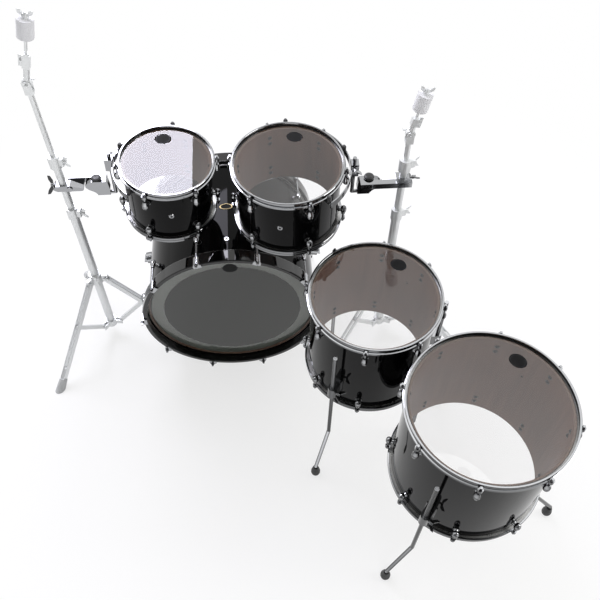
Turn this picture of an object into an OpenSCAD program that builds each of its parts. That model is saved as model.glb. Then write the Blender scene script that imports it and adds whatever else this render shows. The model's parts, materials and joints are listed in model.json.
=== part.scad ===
// Five-piece drum kit: bass drum, two rack toms hung from tripod stands, two floor toms.
// Millimetres, +Z up. The drummer sits on the -Y side; the bass drum's axis runs along Y.
// Drums are drawn with their batter rim in the plane z = 0 and their body below it.

/* [Bass drum] */
// Shell diameter of the bass drum
bass_d = 558.8; // [530:0.2:570]
// Shell depth between the bearing edges
bass_depth = 415; // [340:1:440]
// Depth of the wooden hoop
bass_hoop_depth = 44; // [36:0.5:46]
// Thickness of the wooden hoop
bass_hoop_wall = 13; // [11:0.5:14]
// How far the head lies behind the hoop's front
bass_recess = 30; // [24:0.5:32]
// Distance of each lug's middle from the hoop's front
bass_lug_drop = 100; // [90:1:110]
// Number of lugs on each side
bass_lugs = 10; // [8:2:10]

/* [Ten inch tom] */
// Shell diameter
t10_d = 254; // [240:0.5:260]
// Shell depth
t10_depth = 190; // [170:1:205]
// Height of the batter rim above the floor
t10_rim_z = 866; // [860:1:890]
// Sideways lean
t10_roll = 3.6; // [0:0.1:5]
// Lean towards the drummer
t10_pitch = 3.2; // [0:0.1:5]

/* [Twelve inch tom] */
// Shell diameter
t12_d = 304.8; // [295:0.2:310]
// Shell depth
t12_depth = 206; // [190:1:215]
// Height of the batter rim above the floor
t12_rim_z = 870; // [866:1:895]
// Lean towards the drummer
t12_pitch = 2; // [0:0.1:5]
// Place of the batter rim's centre from the kit's centre line
t12_x = 194; // [185:1:205]
// Place of the batter rim's centre behind the bass drum's front
t12_y = 120; // [105:1:135]
// Gap between the two rack tom shells
rack_gap = 64; // [56:1:80]

/* [Fourteen inch floor tom] */
// Shell diameter
t14_d = 355.6; // [345:0.2:362]
// Shell depth
t14_depth = 318; // [290:1:330]
// Height of the batter rim above the floor
t14_rim_z = 688; // [670:1:700]
// Place of the centre from the kit's centre line
t14_x = 414; // [405:1:430]
// Place of the centre in front of the bass drum
t14_y = 221; // [215:1:240]

/* [Sixteen inch floor tom] */
// Shell diameter
t16_d = 406.4; // [390:0.2:420]
// Shell depth
t16_depth = 356; // [330:1:370]
// Height of the batter rim above the floor
t16_rim_z = 724; // [705:1:740]
// Gap between the two floor tom shells
floor_gap = 60; // [58:1:80]

/* [Shells and heads] */
// Thickness of the shells
shell_t = 6.2; // [5:0.1:8]
// Thickness of the drum heads' film
film_t = 0.4; // [0.3:0.05:0.6]
// Width of a head's metal ring
flesh_w = 5.5; // [4.5:0.1:6]
// Height of a head's metal ring
flesh_h = 7.5; // [6:0.1:8]

/* [Cast hoops, lugs and rods] */
// Rise of the cast rim above the head
hoop_rise = 9.5; // [8:0.1:11]
// Height of the cast hoop
hoop_h = 21; // [20:0.1:24]
// Distance of the tension rods from the shell
rod_off = 14.5; // [14:0.1:16]
// Radius of the tension rods
rod_r = 2.9; // [2.5:0.05:3.2]
// Distance of each lug's middle below the rim
lug_drop = 50; // [47:0.5:56]
// Thickness of the gaskets under the lugs
gasket_t = 1.5; // [1:0.1:2.5]
// Radius of the air vents
vent_r = 5.5; // [4:0.1:7]

/* [Rack tom mounts] */
// Radius of the L shaped rods
lrod_r = 5.5; // [4.8:0.1:6.4]
// Distance of the L rod from the shell
lrod_off = 36; // [35.5:0.1:40]
// Height of the mounting band
band_h = 22; // [18:0.5:26]
// Thickness of the mounting band
band_t = 3; // [2:0.1:3.5]
// Distance from the left L rod to its stand
left_arm_len = 146; // [138:1:175]
// Distance from the right L rod to its stand
right_arm_len = 148; // [140:1:165]
// Width of the square bar in each arm
bar_w = 19; // [16:0.5:19]

/* [Floor tom legs] */
// Radius of the leg rods
leg_r = 6; // [4.8:0.1:6.4]
// Distance of the leg rods from the shell
leg_off = 30; // [28:0.5:34]
// Length of the upright part of each leg rod
leg_straight = 431; // [400:1:440]
// Radius of the rubber feet
foot_r = 15; // [12:0.5:17]

/* [Spurs] */
// Radius of the spur tube
spur_r = 8; // [7.5:0.1:9]
// Distance of the spurs behind the batter side
spur_y = 330; // [318:1:333]
// Swing of the spurs away from straight down
spur_forward = 35; // [20:1:45]

/* [Stands] */
// Radius of the base tubes
base_tube_r = 14.3; // [13.5:0.1:15.5]
// Radius of the middle tubes
mid_tube_r = 11.1; // [10.5:0.1:11.8]
// Radius of the upper rods
top_rod_r = 7.9; // [7:0.1:8.5]
// Height of the left base tube's clamp
left_base_top = 640; // [625:1:650]
// Height of the left middle tube's clamp
left_mid_top = 850; // [835:1:865]
// Height of the left tilter
left_tilter_z = 1120; // [1090:1:1140]
// Height of the right base tube's clamp
right_base_top = 624; // [600:1:640]
// Height of the right middle tube's clamp
right_mid_top = 826; // [824:1:850]
// Height of the right tilter
right_tilter_z = 946; // [930:1:960]
// Lean of the left cymbal rod
left_tilter_lean = 15; // [0:1:18]
// Lean of the right cymbal rod
right_tilter_lean = 10; // [0:1:18]
// Angle between a spread leg and its tube
leg_spread = 40; // [35:0.5:42]
// Distance along a leg from its top pivot to its brace, and length of a brace
brace_len = 165; // [150:1:170]
// Distance of the leg pivots from the tube's axis
pivot_off = 34; // [33:0.5:38]
// Reach of a stand's foot from the tube's axis
foot_reach = 300; // [285:1:310]
// Radius of the cymbal felts
felt_r = 21; // [17:0.5:24]

/* [Hidden] */

fn_big = 180;
fn_mid = 64;
fn_small = 32;
fit = 0.05;            // radial clearance of a running fit
gap = 0.3;             // clearance between pieces of different bodies
bend_extra = 0.3;      // swelling of a rod at its bends

// Kit origin on the floor under the middle of the whole kit
origin_x = 168;
origin_y = -160;

// Shell radii
bass_r = bass_d / 2;
t10_r = t10_d / 2;
t12_r = t12_d / 2;
t14_r = t14_d / 2;
t16_r = t16_d / 2;

// Bass drum
bass_hoop_in = bass_r + 3.4;
bass_hoop_out = bass_hoop_in + bass_hoop_wall + 0.2;
bass_rod_r = bass_hoop_out + 4.5;
bass_h = bass_depth + 2 * bass_recess;
bass_z = bass_hoop_out;
bass_vent_az = 90;
bass_az = 90 + 180 / bass_lugs;
claw_t = 4;
claw_w = 20;
claw_hook_w = 26;

// Heights of the drums with their hoops
t10_h = t10_depth + 2 * hoop_rise;
t12_h = t12_depth + 2 * hoop_rise;
t14_h = t14_depth + 2 * hoop_rise;
t16_h = t16_depth + 2 * hoop_rise;

// Lug counts and the direction of each drum's first lug
small_lugs = 6;
large_lugs = 8;
t10_az = -114;
t12_az = -132;
t14_az = -15;
t16_az = -19;

// Places of the drums
t12_c = [t12_x, t12_y, t12_rim_z];
rack_dir = 174;
rack_step = t10_r + t12_r + rack_gap;
t10_c = [t12_x + rack_step * cos(rack_dir), t12_y + rack_step * sin(rack_dir), t10_rim_z];
t14_c = [t14_x, -t14_y, t14_rim_z];
floor_dir = -58.5;
floor_step = t14_r + t16_r + floor_gap;
t16_c = [t14_c[0] + floor_step * cos(floor_dir), t14_c[1] + floor_step * sin(floor_dir), t16_rim_z];

// Cast hoop, measured outwards from the shell and down from the rim
hoop_in = 3.8;
hoop_rim = 9.2;
hoop_neck = 8.1;
hoop_flange = 11.7;
hoop_skirt_in = 7.2;
hoop_ledge = 12.5;
ear_top = 11;
ear_r = 7;
ear_low = 0.3;
rod_head_h = 8;
rod_head_r = 5.2;
washer_t = 1.2;
lug_h = 32;
lug_r = 9.2;
lug_bore = rod_r + 0.3;

// Rack tom mounts: band outside the lugs, posts on tabs under the hoop
band_in = max(rod_off + lug_r + 1.8, 25.5);
band_top = hoop_h;
post_off = 20;
post_r = 6.5;
post_half_angle = 71;
t10_post_az = 156;
t12_post_az = 18;
t10_lrod_az = 174;
t12_lrod_az = -1;
lrod_up = 6;
t10_lrod_drop = 155;
t12_lrod_drop = 130;
block_w = 26;
block_drop = 12;
block_h = 44;

// L rod corner of each rack tom in the tom's own frame and in the kit's frame
function polar(r, a, z) = [r * cos(a), r * sin(a), z];
function tilt(v, pitch, roll) = let (
    y1 = v[1] * cos(pitch) - v[2] * sin(pitch),
    z1 = v[1] * sin(pitch) + v[2] * cos(pitch))
  [v[0] * cos(roll) + z1 * sin(roll), y1, z1 * cos(roll) - v[0] * sin(roll)];
t10_corner = polar(t10_r + lrod_off, t10_lrod_az, -t10_lrod_drop);
t12_corner = polar(t12_r + lrod_off, t12_lrod_az, -t12_lrod_drop);
left_arm_at = t10_c + tilt(t10_corner, t10_pitch, t10_roll);
right_arm_at = t12_c + tilt(t12_corner, t12_pitch, 0);
// Offset of the stand tubes from the L rods' level ends
tube_y = 4;
left_stand = [left_arm_at[0] - left_arm_len, left_arm_at[1] - tube_y, 0];
right_stand = [right_arm_at[0] + right_arm_len, right_arm_at[1] + tube_y, 0];

// Arm
jaw_start = 16;
jaw_len = 36;
jaw_r = 9.5;
arm_rise = 42;
bar_y = -19.5;
cast_front = bar_y + bar_w / 2 - 1;
clamp_end = 26;
clamp_back = 20;
left_bar_end = -13;
right_bar_end = 22;
wing_turn = 54;

// Floor tom legs
t14_leg_az = [-127, 0, 112.5];
t16_leg_az = [-131.5, -11.5, 112];
t14_leg_reach = [68, 68, 68];
t14_leg_turn = [0, 15, 0];
t16_leg_reach = [60, 105, 60];
t16_leg_turn = [-32, 22, -25];
floor_vent_az = 45;
floor_vent_drop = 123;
t14_leg_top = 629;
t16_leg_top = 650;
knee_z = 50;
foot_h = 42;
bracket_rise = 100;
bracket_h = 44;
bracket_w = 26;

// Spurs
spur_az = -12;
spur_out = 10;
spur_stand = 18.6;
spur_pivot_r = bass_r + spur_stand;
spur_disc_r = 20;
spur_disc_t = 9.5;
spur_pin_r = 5;
spur_rod_r = 5.2;
spur_rod_len = 160;
spur_reach = 102;
spur_tip_r = 10;
spur_bore_from = 14;

// Tripods
hub_z = (foot_reach - pivot_off) / tan(leg_spread);
collar_z = hub_z - 2 * brace_len * cos(leg_spread);
leg_len = hub_z / cos(leg_spread);
strip_t = 3;
strip_w = 18;
strip_in = 5;
tongue = strip_in - 0.5;
pin_r = 3;
slot_h = 11.5;
left_clamp_az = -12;
right_clamp_az = 15;
mid_lap = 300;
left_mid_low = left_base_top - mid_lap;
right_mid_low = right_base_top - mid_lap;
left_post = 138;
right_post = 84;
felt_h = 17;
left_top_lap = 150;
right_top_lap = 120;
left_top_low = left_mid_top - left_top_lap;
right_top_low = right_mid_top - right_top_lap;
left_leg_az = -125;
right_leg_az = -20;
stand_foot_r = 15;
stand_foot_h = 44;
collar_r = 21;
cast_r = 18;
cast_h = 42;
cheek_r = 11;
cheek_y = 6;
cheek_t = 4;

// ---------------------------------------------------------------- helpers
module place() translate([-origin_x, -origin_y, 0]) children();

module around(n, a0) {
  for (i = [0 : n - 1]) rotate([0, 0, a0 + i * 360 / n]) children();
}

module both_ends(h) {
  children();
  translate([0, 0, -h]) mirror([0, 0, 1]) children();
}

module rod_between(a, b, r) {
  d = b - a;
  len = norm(d);
  translate(a) rotate([0, acos(d[2] / len), atan2(d[1], d[0])]) cylinder(r = r, h = len, $fn = fn_small);
}

// Wing bolt along +Z: its tip at z = 0, its wings at the far end
module wing_bolt(len, span = 17) {
  cylinder(r = 3, h = len, $fn = fn_small);
  translate([0, 0, len]) {
    cylinder(r1 = 6, r2 = 5, h = 7, $fn = fn_small);
    for (s = [-1, 1]) translate([0, 0, 3])
      rotate([90, 0, 0]) translate([0, 0, -1.8]) linear_extrude(3.6)
        polygon([[s * 3, -3], [s * (0.32 * span + 6), -2], [s * 1.02 * span, 6], [s * 1.06 * span, 14],
          [s * (0.32 * span + 7), 11], [s * 3, 3]]);
  }
}

module bass_frame() translate([0, 0, bass_z]) rotate([90, 0, 0]) children();
module t10_frame() translate(t10_c) rotate([t10_pitch, t10_roll, 0]) children();
module t12_frame() translate(t12_c) rotate([t12_pitch, 0, 0]) children();
module left_arm_frame() translate(left_arm_at) rotate([0, 0, 180]) children();
module right_arm_frame() translate(right_arm_at) children();

// ---------------------------------------------------------------- drums
module shell_ring(r, depth, edge) {
  low = -edge - depth;
  rotate_extrude($fn = fn_big) polygon([
    [r - shell_t, -edge - shell_t + 2], [r - 2, -edge], [r - 1, -edge], [r, -edge - 1],
    [r, low + 1], [r - 1, low], [r - 2, low], [r - shell_t, low + shell_t - 2]
  ]);
}

module drum_shell(r, depth, edge, vent_az, vent_drop) {
  difference() {
    shell_ring(r, depth, edge);
    rotate([0, 0, vent_az]) translate([r - shell_t - 5, 0, -vent_drop]) rotate([0, 90, 0])
      cylinder(r = vent_r, h = shell_t + 10, $fn = fn_small);
  }
  rotate([0, 0, vent_az]) translate([r - shell_t, 0, -vent_drop]) rotate([0, 90, 0]) vent_grommet();
}

module vent_grommet() {
  difference() {
    union() {
      cylinder(r = vent_r - fit, h = shell_t + 1, $fn = fn_small);
      translate([0, 0, shell_t]) cylinder(r1 = vent_r + 3, r2 = vent_r + 1.6, h = 2.2, $fn = fn_small);
    }
    translate([0, 0, -1]) cylinder(r = vent_r - 2, h = shell_t + 5, $fn = fn_small);
  }
}

// Film over the bearing edge with its metal ring pressed down by the hoop
module drum_head(r, edge, ring_top) {
  rotate_extrude($fn = fn_big) polygon([
    [0, -edge], [r + 0.3, -edge], [r + 0.3, -ring_top - flesh_h], [r + 0.8 + flesh_w, -ring_top - flesh_h],
    [r + 0.8 + flesh_w, -ring_top], [r + 0.8, -ring_top], [r + 0.8, film_t - edge], [0, film_t - edge]
  ]);
}

module cast_hoop(r, n, az) {
  difference() {
    union() {
      rotate_extrude($fn = fn_big) polygon([
        [r + hoop_in, -0.6], [r + hoop_in + 0.6, 0], [r + hoop_rim - 1, 0], [r + hoop_rim, -1],
        [r + hoop_rim, -8], [r + hoop_neck, -9], [r + hoop_neck, -12.6], [r + hoop_flange, -13.6],
        [r + hoop_flange, 1 - hoop_h], [r + hoop_flange - 1, -hoop_h], [r + hoop_skirt_in, -hoop_h],
        [r + hoop_skirt_in, -hoop_ledge], [r + hoop_in, -hoop_ledge]
      ]);
      around(n, az) translate([r + rod_off, 0, ear_low - hoop_h]) {
        cylinder(r = ear_r, h = hoop_h - ear_low - ear_top, $fn = fn_mid);
        translate([hoop_skirt_in + 0.8 - rod_off, ear_low - ear_r, 0])
          cube([rod_off - hoop_skirt_in - 0.8, 2 * (ear_r - ear_low), hoop_h - ear_low - ear_top]);
      }
    }
    around(n, az) translate([r + rod_off, 0, -hoop_h - 1])
      cylinder(r = rod_r + 0.35, h = hoop_h + 2, $fn = fn_small);
  }
}

// Tension rods with a washer and a square key head, standing on a seat at the given height
module tension_rods(r, n, az, off, seat, tip) {
  around(n, az) translate([r + off, 0, 0]) {
    translate([0, 0, -tip]) cylinder(r = rod_r, h = tip + seat + washer_t, $fn = fn_small);
    translate([0, 0, seat]) cylinder(r = 6.2, h = washer_t, $fn = fn_small);
    translate([0, 0, seat + washer_t]) cylinder(r = rod_head_r, h = 2.4, $fn = fn_small);
    translate([-3, -3, seat + washer_t]) cube([6, 6, rod_head_h]);
  }
}

module lug_body(off, drop) {
  difference() {
    union() {
      translate([off, 0, -drop]) rotate_extrude($fn = fn_mid) polygon([
        [0, lug_h / 2], [lug_r - 3.4, lug_h / 2], [lug_r - 2.8, lug_h / 2 - 4], [lug_r - 0.4, 3],
        [lug_r, -4], [lug_r - 1.2, -10], [lug_r - 4.2, -14.2], [lug_r - 8, -lug_h / 2], [0, -lug_h / 2]
      ]);
      translate([gasket_t, 0, -drop - 2]) rotate([0, 90, 0])
        cylinder(r1 = 7.5, r2 = 6, h = off - gasket_t, $fn = fn_small);
    }
    translate([off, 0, -drop - 6]) cylinder(r = lug_bore, h = lug_h, $fn = fn_small);
  }
}

module lug_set(r, n, az, off, drop) {
  around(n, az) translate([r, 0, 0]) {
    lug_body(off, drop);
    translate([0, 0, -drop - 2]) rotate([0, 90, 0]) cylinder(r = 9, h = gasket_t, $fn = fn_small);
  }
}

module cast_rods(r, n, az) tension_rods(r, n, az, rod_off, -ear_top, lug_drop + 4);

// ---------------------------------------------------------------- bass drum
module bass_hoop() {
  c = 2.5;
  rotate_extrude($fn = fn_big) polygon([
    [bass_hoop_in, -1], [bass_hoop_in + 1, 0], [bass_hoop_out - c, 0], [bass_hoop_out - 0.8, -0.8],
    [bass_hoop_out, -c], [bass_hoop_out, c - bass_hoop_depth], [bass_hoop_out - 0.8, 0.8 - bass_hoop_depth],
    [bass_hoop_out - c, -bass_hoop_depth], [bass_hoop_in, -bass_hoop_depth]
  ]);
}

module claw() {
  difference() {
    union() {
      translate([bass_hoop_in + 2, -claw_hook_w / 2, 0]) cube([bass_hoop_wall - 1, claw_hook_w, claw_t]);
      translate([bass_hoop_out, -claw_w / 2, -26]) cube([0.9 + bass_rod_r - bass_hoop_out, claw_w, 26 + claw_t]);
      translate([bass_rod_r + 5 - claw_w / 2, 0, -26]) intersection() {
        translate([claw_w / 2 - 9, -claw_w / 2, 0]) cube([9, claw_w, 26 + claw_t]);
        cylinder(r = claw_w / 2, h = 26 + claw_t, $fn = fn_mid);
      }
    }
    translate([bass_rod_r, 0, -27]) cylinder(r = rod_r + 0.2, h = 32, $fn = fn_small);
  }
}

module bass_drum_shell() {
  color("#101013") place() bass_frame() drum_shell(bass_r, bass_depth, bass_recess, bass_vent_az, bass_lug_drop);
}

module bass_drum_heads() {
  color("#5b5f5a") place() bass_frame() both_ends(bass_h) drum_head(bass_r, bass_recess, bass_hoop_depth);
}

module bass_drum_hoops() {
  color("#0c0c0e") place() bass_frame() both_ends(bass_h) bass_hoop();
}

module bass_drum_lugs() {
  color("#c8cacc") place() bass_frame() both_ends(bass_h)
    lug_set(bass_r, bass_lugs, bass_az, bass_rod_r - bass_r, bass_lug_drop);
}

module bass_drum_claws() {
  color("#b9bbbd") place() bass_frame() both_ends(bass_h) around(bass_lugs, bass_az) claw();
}

// Spur frames: local +X points straight out of the shell, local -Y is down along the shell
module spur_frame(side) bass_frame() mirror([side, 0, 0])
  rotate([0, 0, spur_az]) translate([0, 0, -spur_y]) children();

function spur_dir() = [sin(spur_out), -cos(spur_out) * cos(spur_forward), -cos(spur_out) * sin(spur_forward)];
function spur_fall() = -(spur_dir()[0] * sin(spur_az) + spur_dir()[1] * cos(spur_az));
spur_start = [spur_pivot_r + spur_disc_t, 0, 0];
spur_len = (bass_z + spur_start[0] * sin(spur_az) - spur_tip_r) / spur_fall();
spur_tube_len = spur_len - spur_reach;

module spur_line(a, b, r) rod_between(spur_start + a * spur_dir(), spur_start + b * spur_dir(), r);

module spur_bracket() {
  translate([bass_r, -24, -24]) cube([2, 48, 48]);
  translate([bass_r + 2, 0, 0]) rotate([0, 90, 0])
    cylinder(r1 = 23, r2 = spur_disc_r, h = spur_stand - 2, $fn = fn_mid);
  translate([spur_pivot_r - 1, 0, 0]) rotate([0, 90, 0])
    cylinder(r = spur_pin_r, h = 2 * spur_disc_t + 2, $fn = fn_small);
  translate([spur_pivot_r + 2 * spur_disc_t + 1, 0, 0]) rotate([0, 90, 0]) wing_knob();
}

module wing_knob() {
  cylinder(r = 8, h = 6, $fn = fn_small);
  translate([-17, -2, 1]) cube([34, 4, 9]);
}

// Disc and tube that swing on the bracket's pin
module spur_tube() {
  difference() {
    union() {
      translate([spur_pivot_r + gap, 0, 0]) rotate([0, 90, 0])
        cylinder(r = spur_disc_r, h = 2 * spur_disc_t, $fn = fn_mid);
      spur_line(0, spur_tube_len, spur_r);
    }
    translate([spur_pivot_r - 1, 0, 0]) rotate([0, 90, 0])
      cylinder(r = spur_pin_r + fit, h = 2 * spur_disc_t + 4, $fn = fn_small);
    spur_line(spur_bore_from, spur_tube_len + 1, spur_rod_r + fit);
  }
}

// Inner rod with its rubber tip, which slides in the tube
module spur_rod() {
  spur_line(spur_len - spur_rod_len, spur_len, spur_rod_r);
  translate(spur_start + spur_len * spur_dir()) sphere(r = spur_tip_r, $fn = fn_small);
}

// ---------------------------------------------------------------- rack tom mounts
module band_arc(r, post_az) {
  top = band_top + 0.6;
  low = top + band_h;
  rotate([0, 0, post_az - post_half_angle]) rotate_extrude(angle = 2 * post_half_angle, $fn = fn_big)
    polygon([[r + band_in, -top], [r + band_in + band_t, -top], [r + band_in + band_t, -low],
      [r + band_in, -low]]);
}

module post_tabs(r, post_az) {
  for (a = [-post_half_angle, 0, post_half_angle]) rotate([0, 0, post_az + a])
    translate([r + hoop_skirt_in + 0.4, -7, -band_top - 3])
      cube([band_in - hoop_skirt_in + band_t - 1, 14, 3]);
}

module tom_mount(r, post_az, lrod_az) {
  difference() {
    union() {
      band_arc(r, post_az);
      post_tabs(r, post_az);
      rotate([0, 0, lrod_az]) translate([r + band_in + 0.5, -block_w / 2, -block_drop - block_h])
        cube([lrod_off - band_in + 12, block_w, block_h]);
    }
    rotate([0, 0, lrod_az]) translate([r + lrod_off, 0, -block_drop - block_h - 1])
      cylinder(r = lrod_r + fit, h = block_h + 2, $fn = fn_small);
    rotate([0, 0, lrod_az]) translate([r + lrod_off, -block_w, -block_drop - 12]) rotate([-90, 0, 0])
      cylinder(r = 3.1, h = block_w, $fn = fn_small);
  }
  for (a = [-post_half_angle, 0, post_half_angle]) rotate([0, 0, post_az + a])
    translate([r + post_off, 0, -band_top]) post_bush();
  rotate([0, 0, lrod_az]) translate([r + lrod_off, -lrod_r - gap, -block_drop - 12]) rotate([90, 0, 0])
    wing_bolt(block_w / 2 + 2);
}

module post_bush() {
  cylinder(r = post_r, h = band_top - 6, $fn = fn_small);
  translate([0, 0, band_top - 6]) cylinder(r1 = post_r, r2 = post_r - 2.5, h = 5, $fn = fn_small);
}

// L rod: upright through the mount
module l_rod_upright(r, az, drop) {
  translate(polar(r + lrod_off, az, -drop)) {
    cylinder(r = lrod_r, h = drop + lrod_up, $fn = fn_small);
    sphere(r = lrod_r + bend_extra, $fn = fn_small);
  }
}

// Level end of an L rod, in the arm's frame
module l_rod_level() rotate([0, 90, 0]) cylinder(r = lrod_r, h = jaw_start + jaw_len + 4, $fn = fn_small);

// Casting drawn in the XZ plane, as thick as the space from the bar to the given depth
module casting(points, back) translate([0, back, 0]) rotate([90, 0, 0]) linear_extrude(back - cast_front)
  polygon(points);

// Arm: +X runs from the L rod to the stand, the L rod's level end lies on the X axis
module arm_body(len, bar_end) {
  jaw_end = jaw_start + jaw_len;
  top = arm_rise + 8;
  low = arm_rise - 15;
  rotate([0, 90, 0]) translate([0, 0, jaw_start]) cylinder(r = jaw_r, h = jaw_len, $fn = fn_mid);
  casting([[jaw_start, -3], [jaw_end - 3, -3], [jaw_end + 6, 9], [jaw_end + 22, 20], [jaw_end + 30, 29],
    [jaw_end + 30, 36], [jaw_end + 22, top - 4], [jaw_end + 10, top], [jaw_start + 4, top], [jaw_start - 1, top - 5],
    [jaw_start - 3, 18]], 10);
  casting([[len - 60, low + 3], [len - 55, low], [len + 16, low], [len + clamp_end, low + 6],
    [len + clamp_end, top - 11], [len + 18, top - 2], [len - 22, top - 2], [len - 42, top - 8], [len - 60, low + 10]],
    clamp_back);
  translate([len - 21, clamp_back - 1, arm_rise - 5]) rotate([-90, 0, 0]) cylinder(r = 8, h = 4.5, $fn = fn_small);
  translate([jaw_start + 4, bar_y - bar_w / 2, arm_rise - bar_w / 2])
    cube([len + bar_end - jaw_start - 4, bar_w, bar_w]);
}

module grip_knob() {
  rotate_extrude($fn = fn_mid)
    polygon([[0, 0], [8, 0], [9, 2], [14, 3], [15, 6], [13.5, 9], [9, 11], [0, 11.5]]);
}

// The whole arm: jaw bored for the L rod, clamp bored for the stand's middle tube, knob and wing bolt
module arm(len, bar_end) {
  difference() {
    arm_body(len, bar_end);
    translate([jaw_start - 4, 0, 0]) rotate([0, 90, 0])
      cylinder(r = lrod_r + fit, h = jaw_len + 11, $fn = fn_small);
    translate([len, tube_y, 0]) cylinder(r = mid_tube_r + fit, h = 2 * arm_rise, $fn = fn_mid);
    translate([len, tube_y, arm_rise]) rotate([0, 90, 0]) cylinder(r = 3.1, h = clamp_end + 10, $fn = fn_small);
  }
  translate([jaw_start + jaw_len - 5, -0.5, arm_rise + 8]) grip_knob();
  translate([len + mid_tube_r + gap, tube_y, arm_rise]) rotate([0, 90, 0]) rotate([0, 0, wing_turn])
    wing_bolt(clamp_end - mid_tube_r + 1, 26);
}

// ---------------------------------------------------------------- floor tom legs
module leg_bracket(r, h) {
  z = bracket_rise - h;
  translate([r, -bracket_w / 2 - 3, z - bracket_h / 2 - 8]) cube([2, bracket_w + 6, bracket_h + 16]);
  difference() {
    union() {
      translate([r + 2, -bracket_w / 2, z - bracket_h / 2]) cube([leg_off - 2, bracket_w, bracket_h]);
      translate([r + leg_off, 0, z - bracket_h / 2]) cylinder(r = bracket_w / 2, h = bracket_h, $fn = fn_mid);
    }
    translate([r + leg_off, 0, z - bracket_h]) cylinder(r = leg_r + fit, h = 2 * bracket_h, $fn = fn_small);
    translate([r + leg_off, 0, z]) rotate([-90, 0, 0]) cylinder(r = 3.1, h = bracket_w, $fn = fn_small);
  }
  translate([r + leg_off, leg_r + gap, z]) rotate([-90, 0, 0]) wing_bolt(bracket_w / 2);
}

module bracket_set(c, r, h, azimuths) translate(c) for (az = azimuths) rotate([0, 0, az]) leg_bracket(r, h);

// Leg rod: upright in its bracket, sloping out to a knee, then down into the rubber foot
module floor_leg(c, r, az, reach, turn, top_z) {
  top = [c[0] + (r + leg_off) * cos(az), c[1] + (r + leg_off) * sin(az), top_z];
  bend = [top[0], top[1], top_z - leg_straight];
  knee = [bend[0] + reach * cos(az + turn), bend[1] + reach * sin(az + turn), knee_z];
  translate(bend) cylinder(r = leg_r, h = leg_straight, $fn = fn_small);
  for (p = [bend, knee]) translate(p) sphere(r = leg_r + bend_extra, $fn = fn_small);
  rod_between(bend, knee, leg_r);
  translate([knee[0], knee[1], 12]) cylinder(r = leg_r, h = knee_z - 12, $fn = fn_small);
  translate([knee[0], knee[1], 0]) rubber_foot();
}

module rubber_foot() {
  rotate_extrude($fn = fn_mid) polygon([
    [0, 0], [foot_r - 5, 0], [foot_r - 1.5, 3], [foot_r, 9], [foot_r, 16], [foot_r - 2, 26],
    [leg_r + 3.5, foot_h - 3], [leg_r + 2.5, foot_h], [0, foot_h]
  ]);
}

// ---------------------------------------------------------------- stands
module plane_bar(a, b, w, y0, y1) {
  d = b - a;
  len = norm(d);
  translate([a[0], y0, a[1]]) rotate([0, atan2(d[0], d[1]), 0]) {
    translate([-w / 2, 0, 0]) cube([w, y1 - y0, len]);
    for (z = [0, len]) translate([0, 0, z]) rotate([-90, 0, 0]) cylinder(r = w / 2, h = y1 - y0, $fn = fn_small);
  }
}

module cross_pin(p, half, r) {
  translate([p[0], -half, p[1]]) rotate([-90, 0, 0]) cylinder(r = r, h = 2 * half, $fn = fn_small);
}

function along(p, t) = p + t * [sin(leg_spread), -cos(leg_spread)];
hub_p = [pivot_off, hub_z];
collar_p = [pivot_off, collar_z];
mid_p = along(hub_p, brace_len);
leg_end = leg_len - stand_foot_h / 2;

module tripod_leg() {
  out = strip_in + strip_t;
  plane_bar(hub_p, along(hub_p, leg_end), strip_w, strip_in, out);
  plane_bar(hub_p, along(hub_p, leg_end), strip_w, -out, -strip_in);
  cross_pin(hub_p, out + 1.5, pin_r);
  cross_pin(mid_p, out + 1.5, pin_r);
  plane_bar(along(hub_p, leg_end - 60), along(hub_p, leg_end - 8), strip_w - 2, -strip_in, strip_in);
}

module tripod_foot() {
  end = along(hub_p, leg_len);
  difference() {
    translate([end[0], 0, end[1]]) rotate([0, -leg_spread, 0]) translate([0, 0, -14])
      cylinder(r1 = stand_foot_r + 2, r2 = stand_foot_r - 1.5, h = stand_foot_h + 14, $fn = fn_mid);
    translate([end[0] - 60, -60, -120]) cube([120, 120, 120]);
    leg_bars();
  }
}

module leg_bars() {
  out = strip_in + strip_t;
  plane_bar(hub_p, along(hub_p, leg_end), strip_w, -out, out);
}

module tripod_brace() {
  difference() {
    plane_bar(collar_p, mid_p, 14, -tongue, tongue);
    cross_pin(collar_p, 20, pin_r + fit);
    cross_pin(mid_p, 20, pin_r + fit);
  }
}

module tripod_hub(az) {
  difference() {
    union() {
      translate([0, 0, hub_z - 16]) cylinder(r = collar_r, h = 44, $fn = fn_mid);
      around(3, az) translate([collar_r - 3, -tongue, hub_z - 12])
        cube([pivot_off - collar_r + 11, 2 * tongue, 34]);
    }
    translate([0, 0, hub_z - 17]) cylinder(r = base_tube_r + fit, h = 50, $fn = fn_mid);
    around(3, az) for (z = [0, slot_h]) cross_pin(hub_p + [0, z], 20, pin_r + 0.4);
    around(3, az) translate([pivot_off - pin_r - 0.4, -20, hub_z]) cube([2 * pin_r + 0.8, 40, slot_h]);
    rotate([0, 0, az + 60]) translate([0, 0, hub_z + 20]) rotate([0, 90, 0]) cylinder(r = 3.1, h = 40, $fn = fn_small);
  }
  rotate([0, 0, az + 60]) translate([base_tube_r + gap, 0, hub_z + 20]) rotate([0, 90, 0]) wing_bolt(12);
}

module tube(r, wall, z0, z1) {
  difference() {
    translate([0, 0, z0]) cylinder(r = r, h = z1 - z0, $fn = fn_mid);
    translate([0, 0, z0 - 1]) cylinder(r = r - wall, h = z1 - z0 + 2, $fn = fn_mid);
  }
}

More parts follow.
